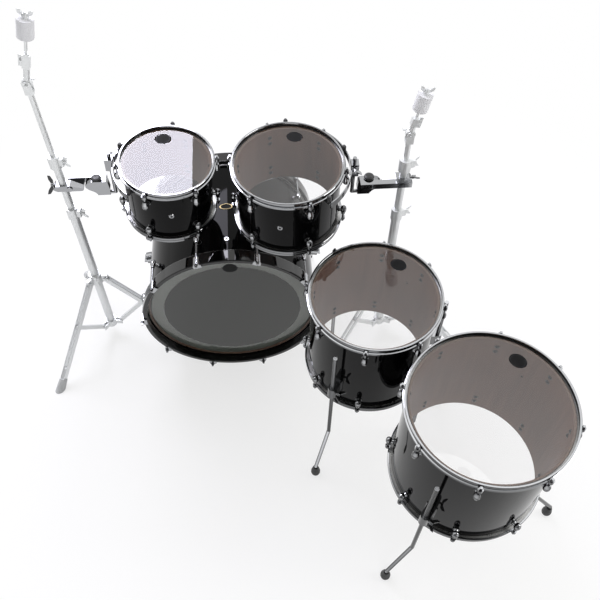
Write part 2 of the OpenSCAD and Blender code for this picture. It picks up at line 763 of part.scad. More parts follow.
// Clamp casting on top of a tube, bored for the next tube, with its wing bolt
module clamp_casting(tube_r, next_r, z, az) {
  difference() {
    union() {
      translate([0, 0, z - 14]) cylinder(r = cast_r, h = cast_h, $fn = fn_mid);
      rotate([0, 0, az]) translate([0, -9, z - 4]) cube([cast_r + 10, 18, 26]);
    }
    translate([0, 0, z - 15]) cylinder(r = tube_r, h = 15, $fn = fn_mid);
    translate([0, 0, z - 1]) cylinder(r = next_r + fit, h = cast_h, $fn = fn_mid);
    rotate([0, 0, az]) translate([0, 0, z + 9]) rotate([0, 90, 0]) cylinder(r = 3.1, h = 40, $fn = fn_small);
  }
  rotate([0, 0, az]) translate([next_r + gap, 0, z + 9]) rotate([0, 90, 0]) wing_bolt(cast_r + 1);
}

module base_tube(top, az, clamp_az) {
  tube(base_tube_r, 2, collar_z - 24, top);
  clamp_casting(base_tube_r, mid_tube_r, top, clamp_az);
  difference() {
    union() {
      translate([0, 0, collar_z - 16]) cylinder(r = collar_r - 1, h = 28, $fn = fn_mid);
      around(3, az) for (s = [strip_in, -strip_in - strip_t])
        translate([base_tube_r + 2, s, collar_z - 10]) cube([pivot_off - base_tube_r + 7, strip_t, 20]);
    }
    translate([0, 0, collar_z - 17]) cylinder(r = base_tube_r, h = 30, $fn = fn_mid);
    around(3, az) translate([base_tube_r + 3, -strip_in, collar_z - 11])
      cube([pivot_off, 2 * strip_in, 22]);
  }
  around(3, az) cross_pin(collar_p, strip_in + strip_t, pin_r);
}

module middle_tube(z0, top, clamp_az) {
  tube(mid_tube_r, 1.6, z0, top);
  clamp_casting(mid_tube_r, top_rod_r, top, clamp_az);
}

module upper_rod(z0, tilter_z) {
  difference() {
    union() {
      translate([0, 0, z0]) cylinder(r = top_rod_r, h = tilter_z - 20 - z0, $fn = fn_mid);
      for (y = [cheek_y, -cheek_y - cheek_t]) {
        translate([-cheek_r, y, tilter_z - 24]) cube([2 * cheek_r, cheek_t, 24]);
        translate([0, y, tilter_z]) rotate([-90, 0, 0]) cylinder(r = cheek_r, h = cheek_t, $fn = fn_mid);
      }
      translate([-cheek_r, -cheek_y - cheek_t, tilter_z - 30]) cube([2 * cheek_r, 2 * (cheek_y + cheek_t), 8]);
    }
    translate([0, -20, tilter_z]) rotate([-90, 0, 0]) cylinder(r = 4 + fit, h = 40, $fn = fn_small);
  }
}

// Tilter: ratchet disc on a cross pin, upper ratchet with its knob, cymbal rod, seat, three felts and a wing nut
module tilter(z, lean, post, side) {
  foot = cheek_r + 0.5;
  translate([0, 0, z]) {
    translate([0, gap - cheek_y, 0]) rotate([-90, 0, 0]) cylinder(r = 14, h = 2 * (cheek_y - gap), $fn = fn_mid);
    translate([0, -16, 0]) rotate([-90, 0, 0]) cylinder(r = 4, h = 32, $fn = fn_small);
    translate([0, 15, 0]) rotate([-90, 0, 0]) wing_knob();
    rotate([0, lean, 0]) {
      translate([0, 0, foot]) cylinder(r = 8, h = post * 0.66 - foot, $fn = fn_small);
      translate([-10, -8, post * 0.36]) cube([20, 16, post * 0.28]);
      translate([side * 9, 0, post * 0.5]) rotate([0, side * 90, 0]) wing_knob();
      translate([0, 0, 30]) cylinder(r = 4, h = post + 3 * felt_h - 14, $fn = fn_small);
      translate([0, 0, post - 5]) cylinder(r = 13, h = 5, $fn = fn_mid);
      for (k = [0 : 2]) translate([0, 0, post + k * felt_h]) felt();
      translate([0, 0, post + 3 * felt_h]) wing_nut();
    }
  }
}

module felt() {
  difference() {
    cylinder(r = felt_r, h = felt_h, $fn = fn_mid);
    translate([0, 0, -1]) cylinder(r = 4, h = felt_h + 2, $fn = fn_small);
  }
}

module wing_nut() {
  cylinder(r1 = 9, r2 = 6, h = 12, $fn = fn_small);
  for (side = [0, 1]) mirror([side, 0, 0]) translate([0, 1.8, 0]) rotate([90, 0, 0]) linear_extrude(3.6)
    polygon([[5, 2], [18, 12], [19, 22], [12, 21], [5, 11]]);
}

// ---------------------------------------------------------------- rack toms
module tom_10_shell() color("#101013") place() t10_frame() drum_shell(t10_r, t10_depth, hoop_rise, -85, 99);
module tom_12_shell() color("#101013") place() t12_frame() drum_shell(t12_r, t12_depth, hoop_rise, -102, 110);

module tom_10_heads() color("#6b6560") place() t10_frame() both_ends(t10_h) drum_head(t10_r, hoop_rise, hoop_ledge);
module tom_12_heads() color("#6b6560") place() t12_frame() both_ends(t12_h) drum_head(t12_r, hoop_rise, hoop_ledge);

module tom_10_hoops() color("#c8cacc") place() t10_frame() both_ends(t10_h) cast_hoop(t10_r, small_lugs, t10_az);
module tom_12_hoops() color("#c8cacc") place() t12_frame() both_ends(t12_h) cast_hoop(t12_r, small_lugs, t12_az);

module tom_10_lugs() color("#c8cacc") place() t10_frame()
  both_ends(t10_h) lug_set(t10_r, small_lugs, t10_az, rod_off, lug_drop);
module tom_12_lugs() color("#c8cacc") place() t12_frame()
  both_ends(t12_h) lug_set(t12_r, small_lugs, t12_az, rod_off, lug_drop);

module tom_10_tension_rods() color("#cfd1d3") place() t10_frame()
  both_ends(t10_h) cast_rods(t10_r, small_lugs, t10_az);
module tom_12_tension_rods() color("#cfd1d3") place() t12_frame()
  both_ends(t12_h) cast_rods(t12_r, small_lugs, t12_az);

module tom_10_mount() color("#c4c6c8") place() t10_frame() tom_mount(t10_r, t10_post_az, t10_lrod_az);
module tom_12_mount() color("#c4c6c8") place() t12_frame() tom_mount(t12_r, t12_post_az, t12_lrod_az);

module tom_10_l_rod() color("#cfd1d3") place() {
  t10_frame() l_rod_upright(t10_r, t10_lrod_az, t10_lrod_drop);
  left_arm_frame() l_rod_level();
}

module tom_12_l_rod() color("#cfd1d3") place() {
  t12_frame() l_rod_upright(t12_r, t12_lrod_az, t12_lrod_drop);
  right_arm_frame() l_rod_level();
}

module tom_10_arm() color("#c4c6c8") place() left_arm_frame() arm(left_arm_len, left_bar_end);
module tom_12_arm() color("#c4c6c8") place() right_arm_frame() arm(right_arm_len, right_bar_end);

// ---------------------------------------------------------------- floor toms
module tom_14_shell() color("#101013") place()
  translate(t14_c) drum_shell(t14_r, t14_depth, hoop_rise, floor_vent_az, floor_vent_drop);
module tom_16_shell() color("#101013") place()
  translate(t16_c) drum_shell(t16_r, t16_depth, hoop_rise, floor_vent_az, floor_vent_drop);

module floor_tom_hoops() color("#c8cacc") place() {
  translate(t14_c) both_ends(t14_h) cast_hoop(t14_r, large_lugs, t14_az);
  translate(t16_c) both_ends(t16_h) cast_hoop(t16_r, large_lugs, t16_az);
}

module floor_tom_heads() color("#6b6560") place() {
  translate(t14_c) both_ends(t14_h) drum_head(t14_r, hoop_rise, hoop_ledge);
  translate(t16_c) both_ends(t16_h) drum_head(t16_r, hoop_rise, hoop_ledge);
}

module floor_tom_lugs() color("#c8cacc") place() {
  translate(t14_c) both_ends(t14_h) lug_set(t14_r, large_lugs, t14_az, rod_off, lug_drop);
  translate(t16_c) both_ends(t16_h) lug_set(t16_r, large_lugs, t16_az, rod_off, lug_drop);
}

module floor_drum_tension_rods() color("#cfd1d3") place() {
  bass_frame() both_ends(bass_h) tension_rods(0, bass_lugs, bass_az, bass_rod_r, claw_t, bass_lug_drop + 4);
  translate(t14_c) both_ends(t14_h) cast_rods(t14_r, large_lugs, t14_az);
  translate(t16_c) both_ends(t16_h) cast_rods(t16_r, large_lugs, t16_az);
}

module leg_brackets() color("#c4c6c8") place() {
  bracket_set(t14_c, t14_r, t14_h, t14_leg_az);
  bracket_set(t16_c, t16_r, t16_h, t16_leg_az);
}

module t14_leg(i) color("#cfd1d3") place()
  floor_leg(t14_c, t14_r, t14_leg_az[i], t14_leg_reach[i], t14_leg_turn[i], t14_leg_top);
module t16_leg(i) color("#cfd1d3") place()
  floor_leg(t16_c, t16_r, t16_leg_az[i], t16_leg_reach[i], t16_leg_turn[i], t16_leg_top);

// ---------------------------------------------------------------- spurs
module spur_brackets() color("#c4c6c8") place() for (side = [0, 1]) spur_frame(side) spur_bracket();
module spur_side(side) color("#cfd1d3") place() spur_frame(side) spur_tube();
module spur_rod_side(side) color("#cfd1d3") place() spur_frame(side) spur_rod();

// ---------------------------------------------------------------- both stands
module stand_base_tubes() color("#e4e5e6") place() {
  translate(left_stand) base_tube(left_base_top, left_leg_az, left_clamp_az);
  translate(right_stand) base_tube(right_base_top, right_leg_az, right_clamp_az);
}

module left_part() color("#e4e5e6") place() translate(left_stand) children();
module right_part() color("#e4e5e6") place() translate(right_stand) children();
module left_spoke(i) left_part() rotate([0, 0, left_leg_az + 120 * i]) children();
module right_spoke(i) right_part() rotate([0, 0, right_leg_az + 120 * i]) children();

module tripod_leg_with_foot() {
  tripod_leg();
  tripod_foot();
}

// ---------------------------------------------------------------- drawing
bass_drum_shell();
bass_drum_heads();
bass_drum_hoops();
bass_drum_lugs();
bass_drum_claws();
spur_brackets();
spur_side(1);  // spur_left
spur_side(0);  // spur_right
spur_rod_side(1);  // spur_rod_left
spur_rod_side(0);  // spur_rod_right
tom_10_shell();
tom_10_heads();
tom_10_hoops();
tom_10_lugs();
tom_10_tension_rods();
tom_10_mount();
tom_10_l_rod();
tom_10_arm();
tom_12_shell();
tom_12_heads();
tom_12_hoops();
tom_12_lugs();
tom_12_tension_rods();
tom_12_mount();
tom_12_l_rod();
tom_12_arm();
tom_14_shell();
tom_16_shell();
floor_tom_hoops();
floor_tom_heads();
floor_tom_lugs();
floor_drum_tension_rods();
leg_brackets();
t14_leg(0);  // tom_14_leg_1
t14_leg(1);  // tom_14_leg_2
t14_leg(2);  // tom_14_leg_3
t16_leg(0);  // tom_16_leg_1
t16_leg(1);  // tom_16_leg_2
t16_leg(2);  // tom_16_leg_3
stand_base_tubes();
left_part() tripod_hub(left_leg_az);  // left_tripod_hub
left_spoke(0) tripod_leg_with_foot();  // left_tripod_leg_1
left_spoke(1) tripod_leg_with_foot();  // left_tripod_leg_2
left_spoke(2) tripod_leg_with_foot();  // left_tripod_leg_3
left_spoke(0) tripod_brace();  // left_tripod_brace_1
left_spoke(1) tripod_brace();  // left_tripod_brace_2
left_spoke(2) tripod_brace();  // left_tripod_brace_3
right_part() tripod_hub(right_leg_az);  // right_tripod_hub
right_spoke(0) tripod_leg_with_foot();  // right_tripod_leg_1
right_spoke(1) tripod_leg_with_foot();  // right_tripod_leg_2
right_spoke(2) tripod_leg_with_foot();  // right_tripod_leg_3
right_spoke(0) tripod_brace();  // right_tripod_brace_1
right_spoke(1) tripod_brace();  // right_tripod_brace_2
right_spoke(2) tripod_brace();  // right_tripod_brace_3
left_part() middle_tube(left_mid_low, left_mid_top, left_clamp_az);  // left_middle_tube
right_part() middle_tube(right_mid_low, right_mid_top, right_clamp_az);  // right_middle_tube
left_part() upper_rod(left_top_low, left_tilter_z);  // left_upper_rod
right_part() upper_rod(right_top_low, right_tilter_z);  // right_upper_rod
left_part() tilter(left_tilter_z, left_tilter_lean, left_post, -1);  // left_tilter
right_part() tilter(right_tilter_z, right_tilter_lean, right_post, 1);  // right_tilter
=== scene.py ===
"""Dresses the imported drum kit: shells, heads, hardware, stands, small parts and the studio."""

import json
import math

import bmesh
import bpy
import numpy as np
from mathutils import Matrix, Vector


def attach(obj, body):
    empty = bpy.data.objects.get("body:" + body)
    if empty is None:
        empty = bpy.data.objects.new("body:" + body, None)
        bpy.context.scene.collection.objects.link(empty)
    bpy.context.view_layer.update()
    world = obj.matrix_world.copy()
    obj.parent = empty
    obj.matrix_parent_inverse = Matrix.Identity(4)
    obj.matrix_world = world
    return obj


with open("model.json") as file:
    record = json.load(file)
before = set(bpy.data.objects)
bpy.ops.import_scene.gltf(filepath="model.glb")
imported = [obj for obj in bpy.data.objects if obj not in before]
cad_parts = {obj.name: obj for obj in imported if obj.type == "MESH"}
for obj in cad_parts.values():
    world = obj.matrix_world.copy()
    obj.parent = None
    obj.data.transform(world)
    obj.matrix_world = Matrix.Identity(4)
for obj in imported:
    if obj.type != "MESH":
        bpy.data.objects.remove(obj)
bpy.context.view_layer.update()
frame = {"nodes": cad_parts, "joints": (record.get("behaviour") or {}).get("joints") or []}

bl_info = {
    "name": "Acoustic drum kit finishes",
    "version": (1, 0, 0),
    "blender": (4, 5, 0),
    "location": "View3D > Sidebar > Drum Kit",
    "description": "Finishes and small parts for a packed acoustic drum kit",
    "category": "Object",
}

# Each drum: shell node, body, batter side's direction, first lug's angle, lugs an end
DRUMS = {
    "bass": ("bass_drum_shell", "standing_drums", (0, -1, 0), 108, 10),
    "ten": ("tom_10_shell", "tom_10", (0, 0, 1), -114, 6),
    "twelve": ("tom_12_shell", "tom_12", (0, 0, 1), -132, 6),
    "fourteen": ("tom_14_shell", "standing_drums", (0, 0, 1), -15, 8),
    "sixteen": ("tom_16_shell", "standing_drums", (0, 0, 1), -19, 8),
}
JOINTS = {j["name"]: j for j in frame["joints"]}

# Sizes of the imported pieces, in metres
SHELL_WALL = 0.0062
FILM = 0.0004

# A plate's top edge: how much of its thickness is rounded, and how near its middle lines the
# rounding dies out, in metres
ROUNDED, ROUNDING_ENDS = 0.35, 0.004

# Radii below this are a profile's end on its axis
TINY = 1e-7

# A face looks along an axis above the first share of its normal, and across it below the second
ALONG, ACROSS = 0.9, 0.1


# ------------------------------------------------------------------ sizes and finishes
class KitSizes(bpy.types.PropertyGroup):
    screw_radius: bpy.props.FloatProperty(
        name="Lug screw radius", description="Head radius of the screws inside the shells",
        default=0.0042, min=0.002, max=0.008, subtype="DISTANCE", unit="LENGTH")
    screw_spacing: bpy.props.FloatProperty(
        name="Lug screw spacing", description="Distance between a lug's two screws",
        default=0.022, min=0.01, max=0.03, subtype="DISTANCE", unit="LENGTH")
    patch_width: bpy.props.FloatProperty(
        name="Patch width", description="Width of the bare black patch on each head",
        default=0.047, min=0.02, max=0.08, subtype="DISTANCE", unit="LENGTH")
    patch_height: bpy.props.FloatProperty(
        name="Patch height", description="Height of the bare black patch on each head",
        default=0.040, min=0.02, max=0.08, subtype="DISTANCE", unit="LENGTH")
    muffle_radius: bpy.props.FloatProperty(
        name="Muffling ring",
        description="Inner radius of the ring under the bass drum's batter head",
        default=0.215, min=0.15, max=0.25, subtype="DISTANCE", unit="LENGTH")


class KitFinishes(bpy.types.PropertyGroup):
    lacquer: bpy.props.FloatVectorProperty(
        name="Lacquer", description="Colour of the gloss lacquer", subtype="COLOR",
        default=(0.0016, 0.0016, 0.0018), min=0, max=1)
    ply_light: bpy.props.FloatVectorProperty(
        name="Inner ply, light", description="Lighter streaks of the stained inner ply",
        subtype="COLOR", default=(0.155, 0.083, 0.056), min=0, max=1)
    ply_dark: bpy.props.FloatVectorProperty(
        name="Inner ply, dark", description="Darker streaks of the stained inner ply",
        subtype="COLOR", default=(0.108, 0.052, 0.035), min=0, max=1)
    bearing_edge: bpy.props.FloatVectorProperty(
        name="Bearing edge", description="Colour of the bare bearing edges", subtype="COLOR",
        default=(0.14, 0.085, 0.056), min=0, max=1)
    chrome: bpy.props.FloatVectorProperty(
        name="Chrome", description="Tint of the chrome", subtype="COLOR",
        default=(0.66, 0.67, 0.69), min=0, max=1)
    pale_metal: bpy.props.FloatVectorProperty(
        name="Pale metal", description="Tint of the stands' pale satin metal", subtype="COLOR",
        default=(0.90, 0.915, 0.92), min=0, max=1)
    haze: bpy.props.FloatVectorProperty(
        name="Film haze", description="Tint of the clear heads", subtype="COLOR",
        default=(0.30, 0.28, 0.27), min=0, max=1)
    haze_amount: bpy.props.FloatProperty(
        name="Film haze amount", description="How much of the clear film is haze",
        default=0.02, min=0, max=1, subtype="FACTOR")
    film_gloss: bpy.props.FloatProperty(
        name="Film gloss", description="How much light the film mirrors",
        default=0.085, min=0, max=1, subtype="FACTOR")
    rubber: bpy.props.FloatVectorProperty(
        name="Rubber", description="Colour of the rubber feet", subtype="COLOR",
        default=(0.022, 0.022, 0.023), min=0, max=1)
    brass: bpy.props.FloatVectorProperty(
        name="Brass", description="Colour of the bare badge", subtype="COLOR",
        default=(0.52, 0.41, 0.22), min=0, max=1)


class KitStudio(bpy.types.PropertyGroup):
    floor: bpy.props.FloatVectorProperty(
        name="Floor", description="Colour of the floor", subtype="COLOR",
        default=(0.95, 0.95, 0.95), min=0, max=1)
    whiteness: bpy.props.FloatProperty(
        name="Floor whiteness", description="Share of plain white seen in the floor under the kit",
        default=0.66, min=0, max=1, subtype="FACTOR")
    softbox_power: bpy.props.FloatProperty(
        name="Softbox power", description="Power of the overhead softbox",
        default=74, min=0, max=400, subtype="POWER")
    ahead: bpy.props.FloatProperty(
        name="Light ahead", description="Strength of the studio's bright side, beyond the kit",
        default=1.15, min=0, max=3)
    behind: bpy.props.FloatProperty(
        name="Light behind", description="Strength of the studio's dark side, behind the drummer",
        default=0.10, min=0, max=3)


# ------------------------------------------------------------------ places on the drums
class Drum:
    """A drum's own frame: z along its axis towards the batter head, x to the drummer's right."""

    END_SLICE = 0.0005  # slice at the low end whose ring gives the middle
    OUTER_SHARE = 0.9  # corners beyond this share of the widest one lie on the outer face
    OUTER_SKIN = 0.003  # faces up to this far inside the outer face give the radius

    def __init__(self, key):
        self.shell, self.body, up, self.first_lug, self.lugs = DRUMS[key]
        centres, normals, areas = faces_of(frame["nodes"][self.shell])
        _, vectors = np.linalg.eigh(np.einsum("i,ij,ik->jk", areas, normals, normals))
        z = vectors[:, 0] * np.sign(vectors[:, 0] @ np.array(up, float))
        x = np.array((1.0, 0.0, 0.0)) - z[0] * z
        x /= np.linalg.norm(x)
        self.axes = np.array((x, np.cross(z, x), z))
        points = corners_of(frame["nodes"][self.shell]) @ self.axes.T
        low, high = points.min(0), points.max(0)
        middle = (low + high) / 2
        low_ring = points[points[:, 2] < low[2] + self.END_SLICE]
        middle[:2] = (low_ring.min(0)[:2] + low_ring.max(0)[:2]) / 2
        self.middle = middle @ self.axes
        self.half = (high[2] - low[2]) / 2
        spread = off_axis(points - middle)
        outer = float(np.median(spread[spread > spread.max() * self.OUTER_SHARE]))
        reach = off_axis((centres @ self.axes.T) - middle)
        skin = (np.abs((normals @ self.axes.T)[:, 2]) < ACROSS) & (reach > outer - self.OUTER_SKIN)
        self.radius = float(np.average(reach[skin], weights=areas[skin]))

    def local(self, points):
        return (points - self.middle) @ self.axes.T

    def facing(self, normals):
        return normals @ self.axes.T

    def matrix(self, angle, radial, height, facing="out"):
        """A place at that angle, distance and height, with its z axis facing out, in or up."""
        turn = math.radians(angle)
        out = Vector((math.cos(turn), math.sin(turn), 0))
        up = Vector((0, 0, 1))
        z = {"out": out, "in": -out, "up": up}[facing]
        x = out if facing == "up" else up.cross(out)
        local = Matrix((x, z.cross(x), z)).transposed().to_4x4()
        local.translation = out * radial + up * height
        own = Matrix([list(a) for a in self.axes]).transposed().to_4x4()
        own.translation = Vector(self.middle)
        return own @ local


def off_axis(local):
    """How far each point lies from the z axis."""
    return np.hypot(local[:, 0], local[:, 1])


def faces_of(node):
    """Middles, normals and areas of a node's faces."""
    mesh = node.data
    count = len(mesh.polygons)
    centres, normals, areas = np.zeros(count * 3), np.zeros(count * 3), np.zeros(count)
    mesh.polygons.foreach_get("center", centres)
    mesh.polygons.foreach_get("normal", normals)
    mesh.polygons.foreach_get("area", areas)
    return centres.reshape(-1, 3), normals.reshape(-1, 3), areas


def corners_of(node):
    """Corners of a node's mesh."""
    mesh = node.data
    points = np.zeros(len(mesh.vertices) * 3)
    mesh.vertices.foreach_get("co", points)
    return points.reshape(-1, 3)


def paint(node_name, base, *rules):
    """Gives a CAD node its base material, and each rule's material where the rule's test holds."""
    node = frame["nodes"][node_name]
    centres, normals, _ = faces_of(node)
    index = np.zeros(len(centres), np.int32)
    node.data.materials.clear()
    node.data.materials.append(base)
    for place, (material, test) in enumerate(rules, 1):
        node.data.materials.append(material)
        index[test(centres, normals)] = place
    node.data.polygons.foreach_set("material_index", index)
    node.data.update()


def nearest_drum(drums, points):
    """The index of the drum that each point belongs to."""
    return np.argmin([np.linalg.norm(points - d.middle, axis=1) for d in drums], axis=0)


# ------------------------------------------------------------------ mesh making
def oval(width, height, steps, grow):
    """The corners of an ellipse of that width and height, grown by a share."""
    turns = [2 * math.pi * k / steps for k in range(steps)]
    return [(grow * width / 2 * math.cos(a), grow * height / 2 * math.sin(a)) for a in turns]


def span(bm, low, high, k, material=0):
    """The k-th face between two rings, either of which may be a single corner."""
    ring = [low[k % len(low)], low[(k + 1) % len(low)],
            high[(k + 1) % len(high)], high[k % len(high)]]
    corners = list(dict.fromkeys(ring))
    if len(corners) > 2:
        face = bm.faces.new(corners)
        face.material_index = material
        face.smooth = True


def lathe(bm, matrix, profile, steps, material=0):
    """Turns a profile of (radius, height) points about the z axis of a place."""
    rings = []
    for radius, height in profile:
        if radius < TINY:
            rings.append([bm.verts.new(matrix @ Vector((0, 0, height)))])
        else:
            turns = [2 * math.pi * k / steps for k in range(steps)]
            rings.append([bm.verts.new(matrix @ Vector(
                (radius * math.cos(a), radius * math.sin(a), height))) for a in turns])
    for low, high in zip(rings, rings[1:]):
        for k in range(steps):
            span(bm, low, high, k, material)


def slab(bm, matrix, outline, low, high, material=0):
    """A flat plate with a rounded top edge, cut to an outline."""
    inset = (high - low) * ROUNDED

    def drawn_in(value, shrink):
        return value - shrink * math.copysign(min(1, abs(value) / ROUNDING_ENDS), value)

    layers = []
    for shrink, z in ((0, low), (0, high - inset), (inset, high)):
        layers.append([bm.verts.new(matrix @ Vector((drawn_in(x, shrink), drawn_in(y, shrink), z)))
                       for x, y in outline])
    for a, b in zip(layers, layers[1:]):
        for k in range(len(outline)):
            span(bm, a, b, k, material)
    for ring in (layers[-1], layers[0][::-1]):
        bm.faces.new(ring).material_index = material


def piece(name, bm, materials, body):
    """Makes a finished object of a bmesh that rides on a body."""
    bmesh.ops.recalc_face_normals(bm, faces=bm.faces)
    mesh = bpy.data.meshes.new(name)
    bm.to_mesh(mesh)
    bm.free()
    for material in materials:
        mesh.materials.append(material)
    made = bpy.data.objects.new(name, mesh)
    bpy.context.scene.collection.objects.link(made)
    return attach(made, body)


# ------------------------------------------------------------------ shared shader effects
def node_group(name, inputs, outputs, build):
    """A shader node group with named sockets, built once."""
    tree = bpy.data.node_groups.get(name)
    if tree:
        return tree
    tree = bpy.data.node_groups.new(name, "ShaderNodeTree")
    for label, kind, value in inputs:
        tree.interface.new_socket(label, in_out="INPUT", socket_type=kind).default_value = value
    for label, kind in outputs:
        tree.interface.new_socket(label, in_out="OUTPUT", socket_type=kind)
    put_in, put_out = tree.nodes.new("NodeGroupInput"), tree.nodes.new("NodeGroupOutput")
    build(Wires(tree), put_in.outputs, put_out.inputs)
    return tree


class Wires:
    """Short names for adding nodes to a tree and joining them."""

    def __init__(self, tree):
        self.tree = tree

    def add(self, kind, joins=(), **settings):
        node = self.tree.nodes.new("ShaderNode" + kind)
        for key, value in settings.items():
            setattr(node, key, value)
        for socket, source in dict(joins).items():
            target = node.inputs[socket]
            if isinstance(source, bpy.types.NodeSocket):
                self.tree.links.new(source, target)
            else:
                target.default_value = source
        return node.outputs

    def join(self, source, target):
        self.tree.links.new(source, target)

    def math(self, operation, a, b=0.0, c=0.0):
        return self.add("Math", {0: a, 1: b, 2: c}, operation=operation)[0]

    def noise(self, vector, scale, detail=3.0, roughness=0.5):
        return self.add("TexNoise", {"Vector": vector, "Scale": scale,
                                     "Detail": detail, "Roughness": roughness})

    def blend(self, factor, a, b):
        return self.add("Mix", {0: factor, 6: a, 7: b}, data_type="RGBA")[2]

    def spread(self, value, low, high, to_low, to_high):
        return self.add("MapRange", {"Value": value, "From Min": low, "From Max": high,
                                     "To Min": to_low, "To Max": to_high})[0]


FLOAT, COLOUR = "NodeSocketFloat", "NodeSocketColor"
WHITE, BLACK = (1, 1, 1, 1), (0, 0, 0, 1)


def smudges():
    """Faint handling marks: roughness that varies over the surface."""
    def build(w, put_in, put_out):
        place = w.add("TexCoord")["Object"]
        broad = w.noise(place, put_in["Scale"], 4.0, 0.6)[0]
        fine = w.noise(place, w.math("MULTIPLY", put_in["Scale"], 9.0), 2.0)[0]
        mark = w.math("ADD", w.math("MULTIPLY", broad, 0.75), w.math("MULTIPLY", fine, 0.25))
        w.join(w.spread(mark, 0.38, 0.64, put_in["Clean"], put_in["Smudged"]), put_out["Roughness"])
        w.join(w.spread(fine, 0.3, 0.7, 0.0, 1.0), put_out["Height"])
    return node_group(
        "Handling smudges",
        [("Scale", FLOAT, 9.0), ("Clean", FLOAT, 0.05), ("Smudged", FLOAT, 0.16)],
        [("Roughness", FLOAT), ("Height", FLOAT)], build)


def ply_grain():
    """Streaks of stained wood that run along Z."""
    def build(w, put_in, put_out):
        place = w.add("TexCoord")["Object"]
        long_way = w.add("VectorMath", {0: place, 1: (1.0, 1.0, 0.045)}, operation="MULTIPLY")[0]
        streak = w.noise(long_way, put_in["Scale"], 5.0, 0.62)[0]
        cloud = w.noise(place, w.math("MULTIPLY", put_in["Scale"], 0.06), 2.0)[0]
        pore = w.noise(long_way, w.math("MULTIPLY", put_in["Scale"], 4.0), 3.0, 0.7)[0]
        tone = w.math("ADD", w.math("MULTIPLY", streak, 0.7), w.math("MULTIPLY", cloud, 0.3))
        light = w.spread(tone, 0.36, 0.64, 0.0, 1.0)
        w.join(w.blend(light, put_in["Dark"], put_in["Light"]), put_out["Color"])
        raised = w.math("ADD", w.math("MULTIPLY", streak, 0.4), w.math("MULTIPLY", pore, 0.6))
        w.join(raised, put_out["Height"])
    return node_group(
        "Stained ply", [("Light", COLOUR, WHITE), ("Dark", COLOUR, BLACK), ("Scale", FLOAT, 90.0)],
        [("Color", COLOUR), ("Height", FLOAT)], build)


def moulded():
    """Moulded rubber or plastic: fine pits, worn lighter on the edges and dustier in places."""
    def build(w, put_in, put_out):
        place = w.add("TexCoord")["Object"]
        pits = w.noise(place, put_in["Scale"], 3.0, 0.6)[0]
        dust = w.noise(place, w.math("MULTIPLY", put_in["Scale"], 0.05), 4.0)[0]
        edge = w.spread(w.add("NewGeometry")["Pointiness"], 0.505, 0.56, 0.0, 1.0)
        worn = w.math("MULTIPLY", edge, w.spread(dust, 0.4, 0.65, 0.0, 1.0))
        tone = w.math("ADD", w.math("MULTIPLY", worn, 0.6), w.spread(dust, 0.45, 0.75, 0.0, 0.3))
        w.join(w.blend(tone, put_in["Color"], put_in["Worn"]), put_out["Color"])
        w.join(w.spread(dust, 0.35, 0.7, put_in["Smooth"], put_in["Rough"]), put_out["Roughness"])
        w.join(pits, put_out["Height"])
    return node_group(
        "Moulded skin", [("Color", COLOUR, BLACK), ("Worn", COLOUR, (0.1, 0.1, 0.1, 1)),
                         ("Scale", FLOAT, 900.0), ("Smooth", FLOAT, 0.45), ("Rough", FLOAT, 0.7)],
        [("Color", COLOUR), ("Roughness", FLOAT), ("Height", FLOAT)], build)


def knurling():
    """Fine crossed grooves above a height, for the gripped end of a rod."""
    def build(w, put_in, put_out):
        place = w.add("SeparateXYZ", {0: w.add("TexCoord")["Object"]})
        around = w.math("ADD", place[0], place[1])
        waves = [w.math("SINE", w.math("MULTIPLY", w.math(sign, place[2], around), put_in["Pitch"]))
                 for sign in ("ADD", "SUBTRACT")]
        above = w.math("GREATER_THAN", place[2], put_in["From"])
        cut = w.math("MULTIPLY", w.math("ADD", *waves), above)
        w.join(w.spread(cut, -2.0, 2.0, 0.0, 1.0), put_out["Height"])
    return node_group("Knurling", [("Pitch", FLOAT, 1400.0), ("From", FLOAT, 0.46)],
                      [("Height", FLOAT)], build)


def felt_fibres():
    """Matted wool: flecked colour and a soft fibrous relief."""
    def build(w, put_in, put_out):
        place = w.add("TexCoord")["Object"]
        warp = w.noise(place, 160.0, 2.0)[1]
        shift = w.add("VectorMath", {0: warp, 1: (0.004, 0.004, 0.004)}, operation="MULTIPLY")[0]
        bent = w.add("VectorMath", {0: place, 1: shift}, operation="ADD")[0]
        fibre = w.noise(bent, put_in["Scale"], 5.0, 0.75)[0]
        light = w.spread(fibre, 0.35, 0.65, 0.0, 1.0)
        w.join(w.blend(light, put_in["Dark"], put_in["Light"]), put_out["Color"])
        w.join(fibre, put_out["Height"])
    return node_group(
        "Felt fibres", [("Light", COLOUR, WHITE), ("Dark", COLOUR, BLACK), ("Scale", FLOAT, 700.0)],
        [("Color", COLOUR), ("Height", FLOAT)], build)


# ------------------------------------------------------------------ finishes
# How far plated metal has turned away where its tint starts to fall into painted edge shade, and
# where it has fallen
EDGE_SHADE_TURN, SOFT_EDGE_SHADE_TURN = (0.06, 0.58), (0.15, 0.75)
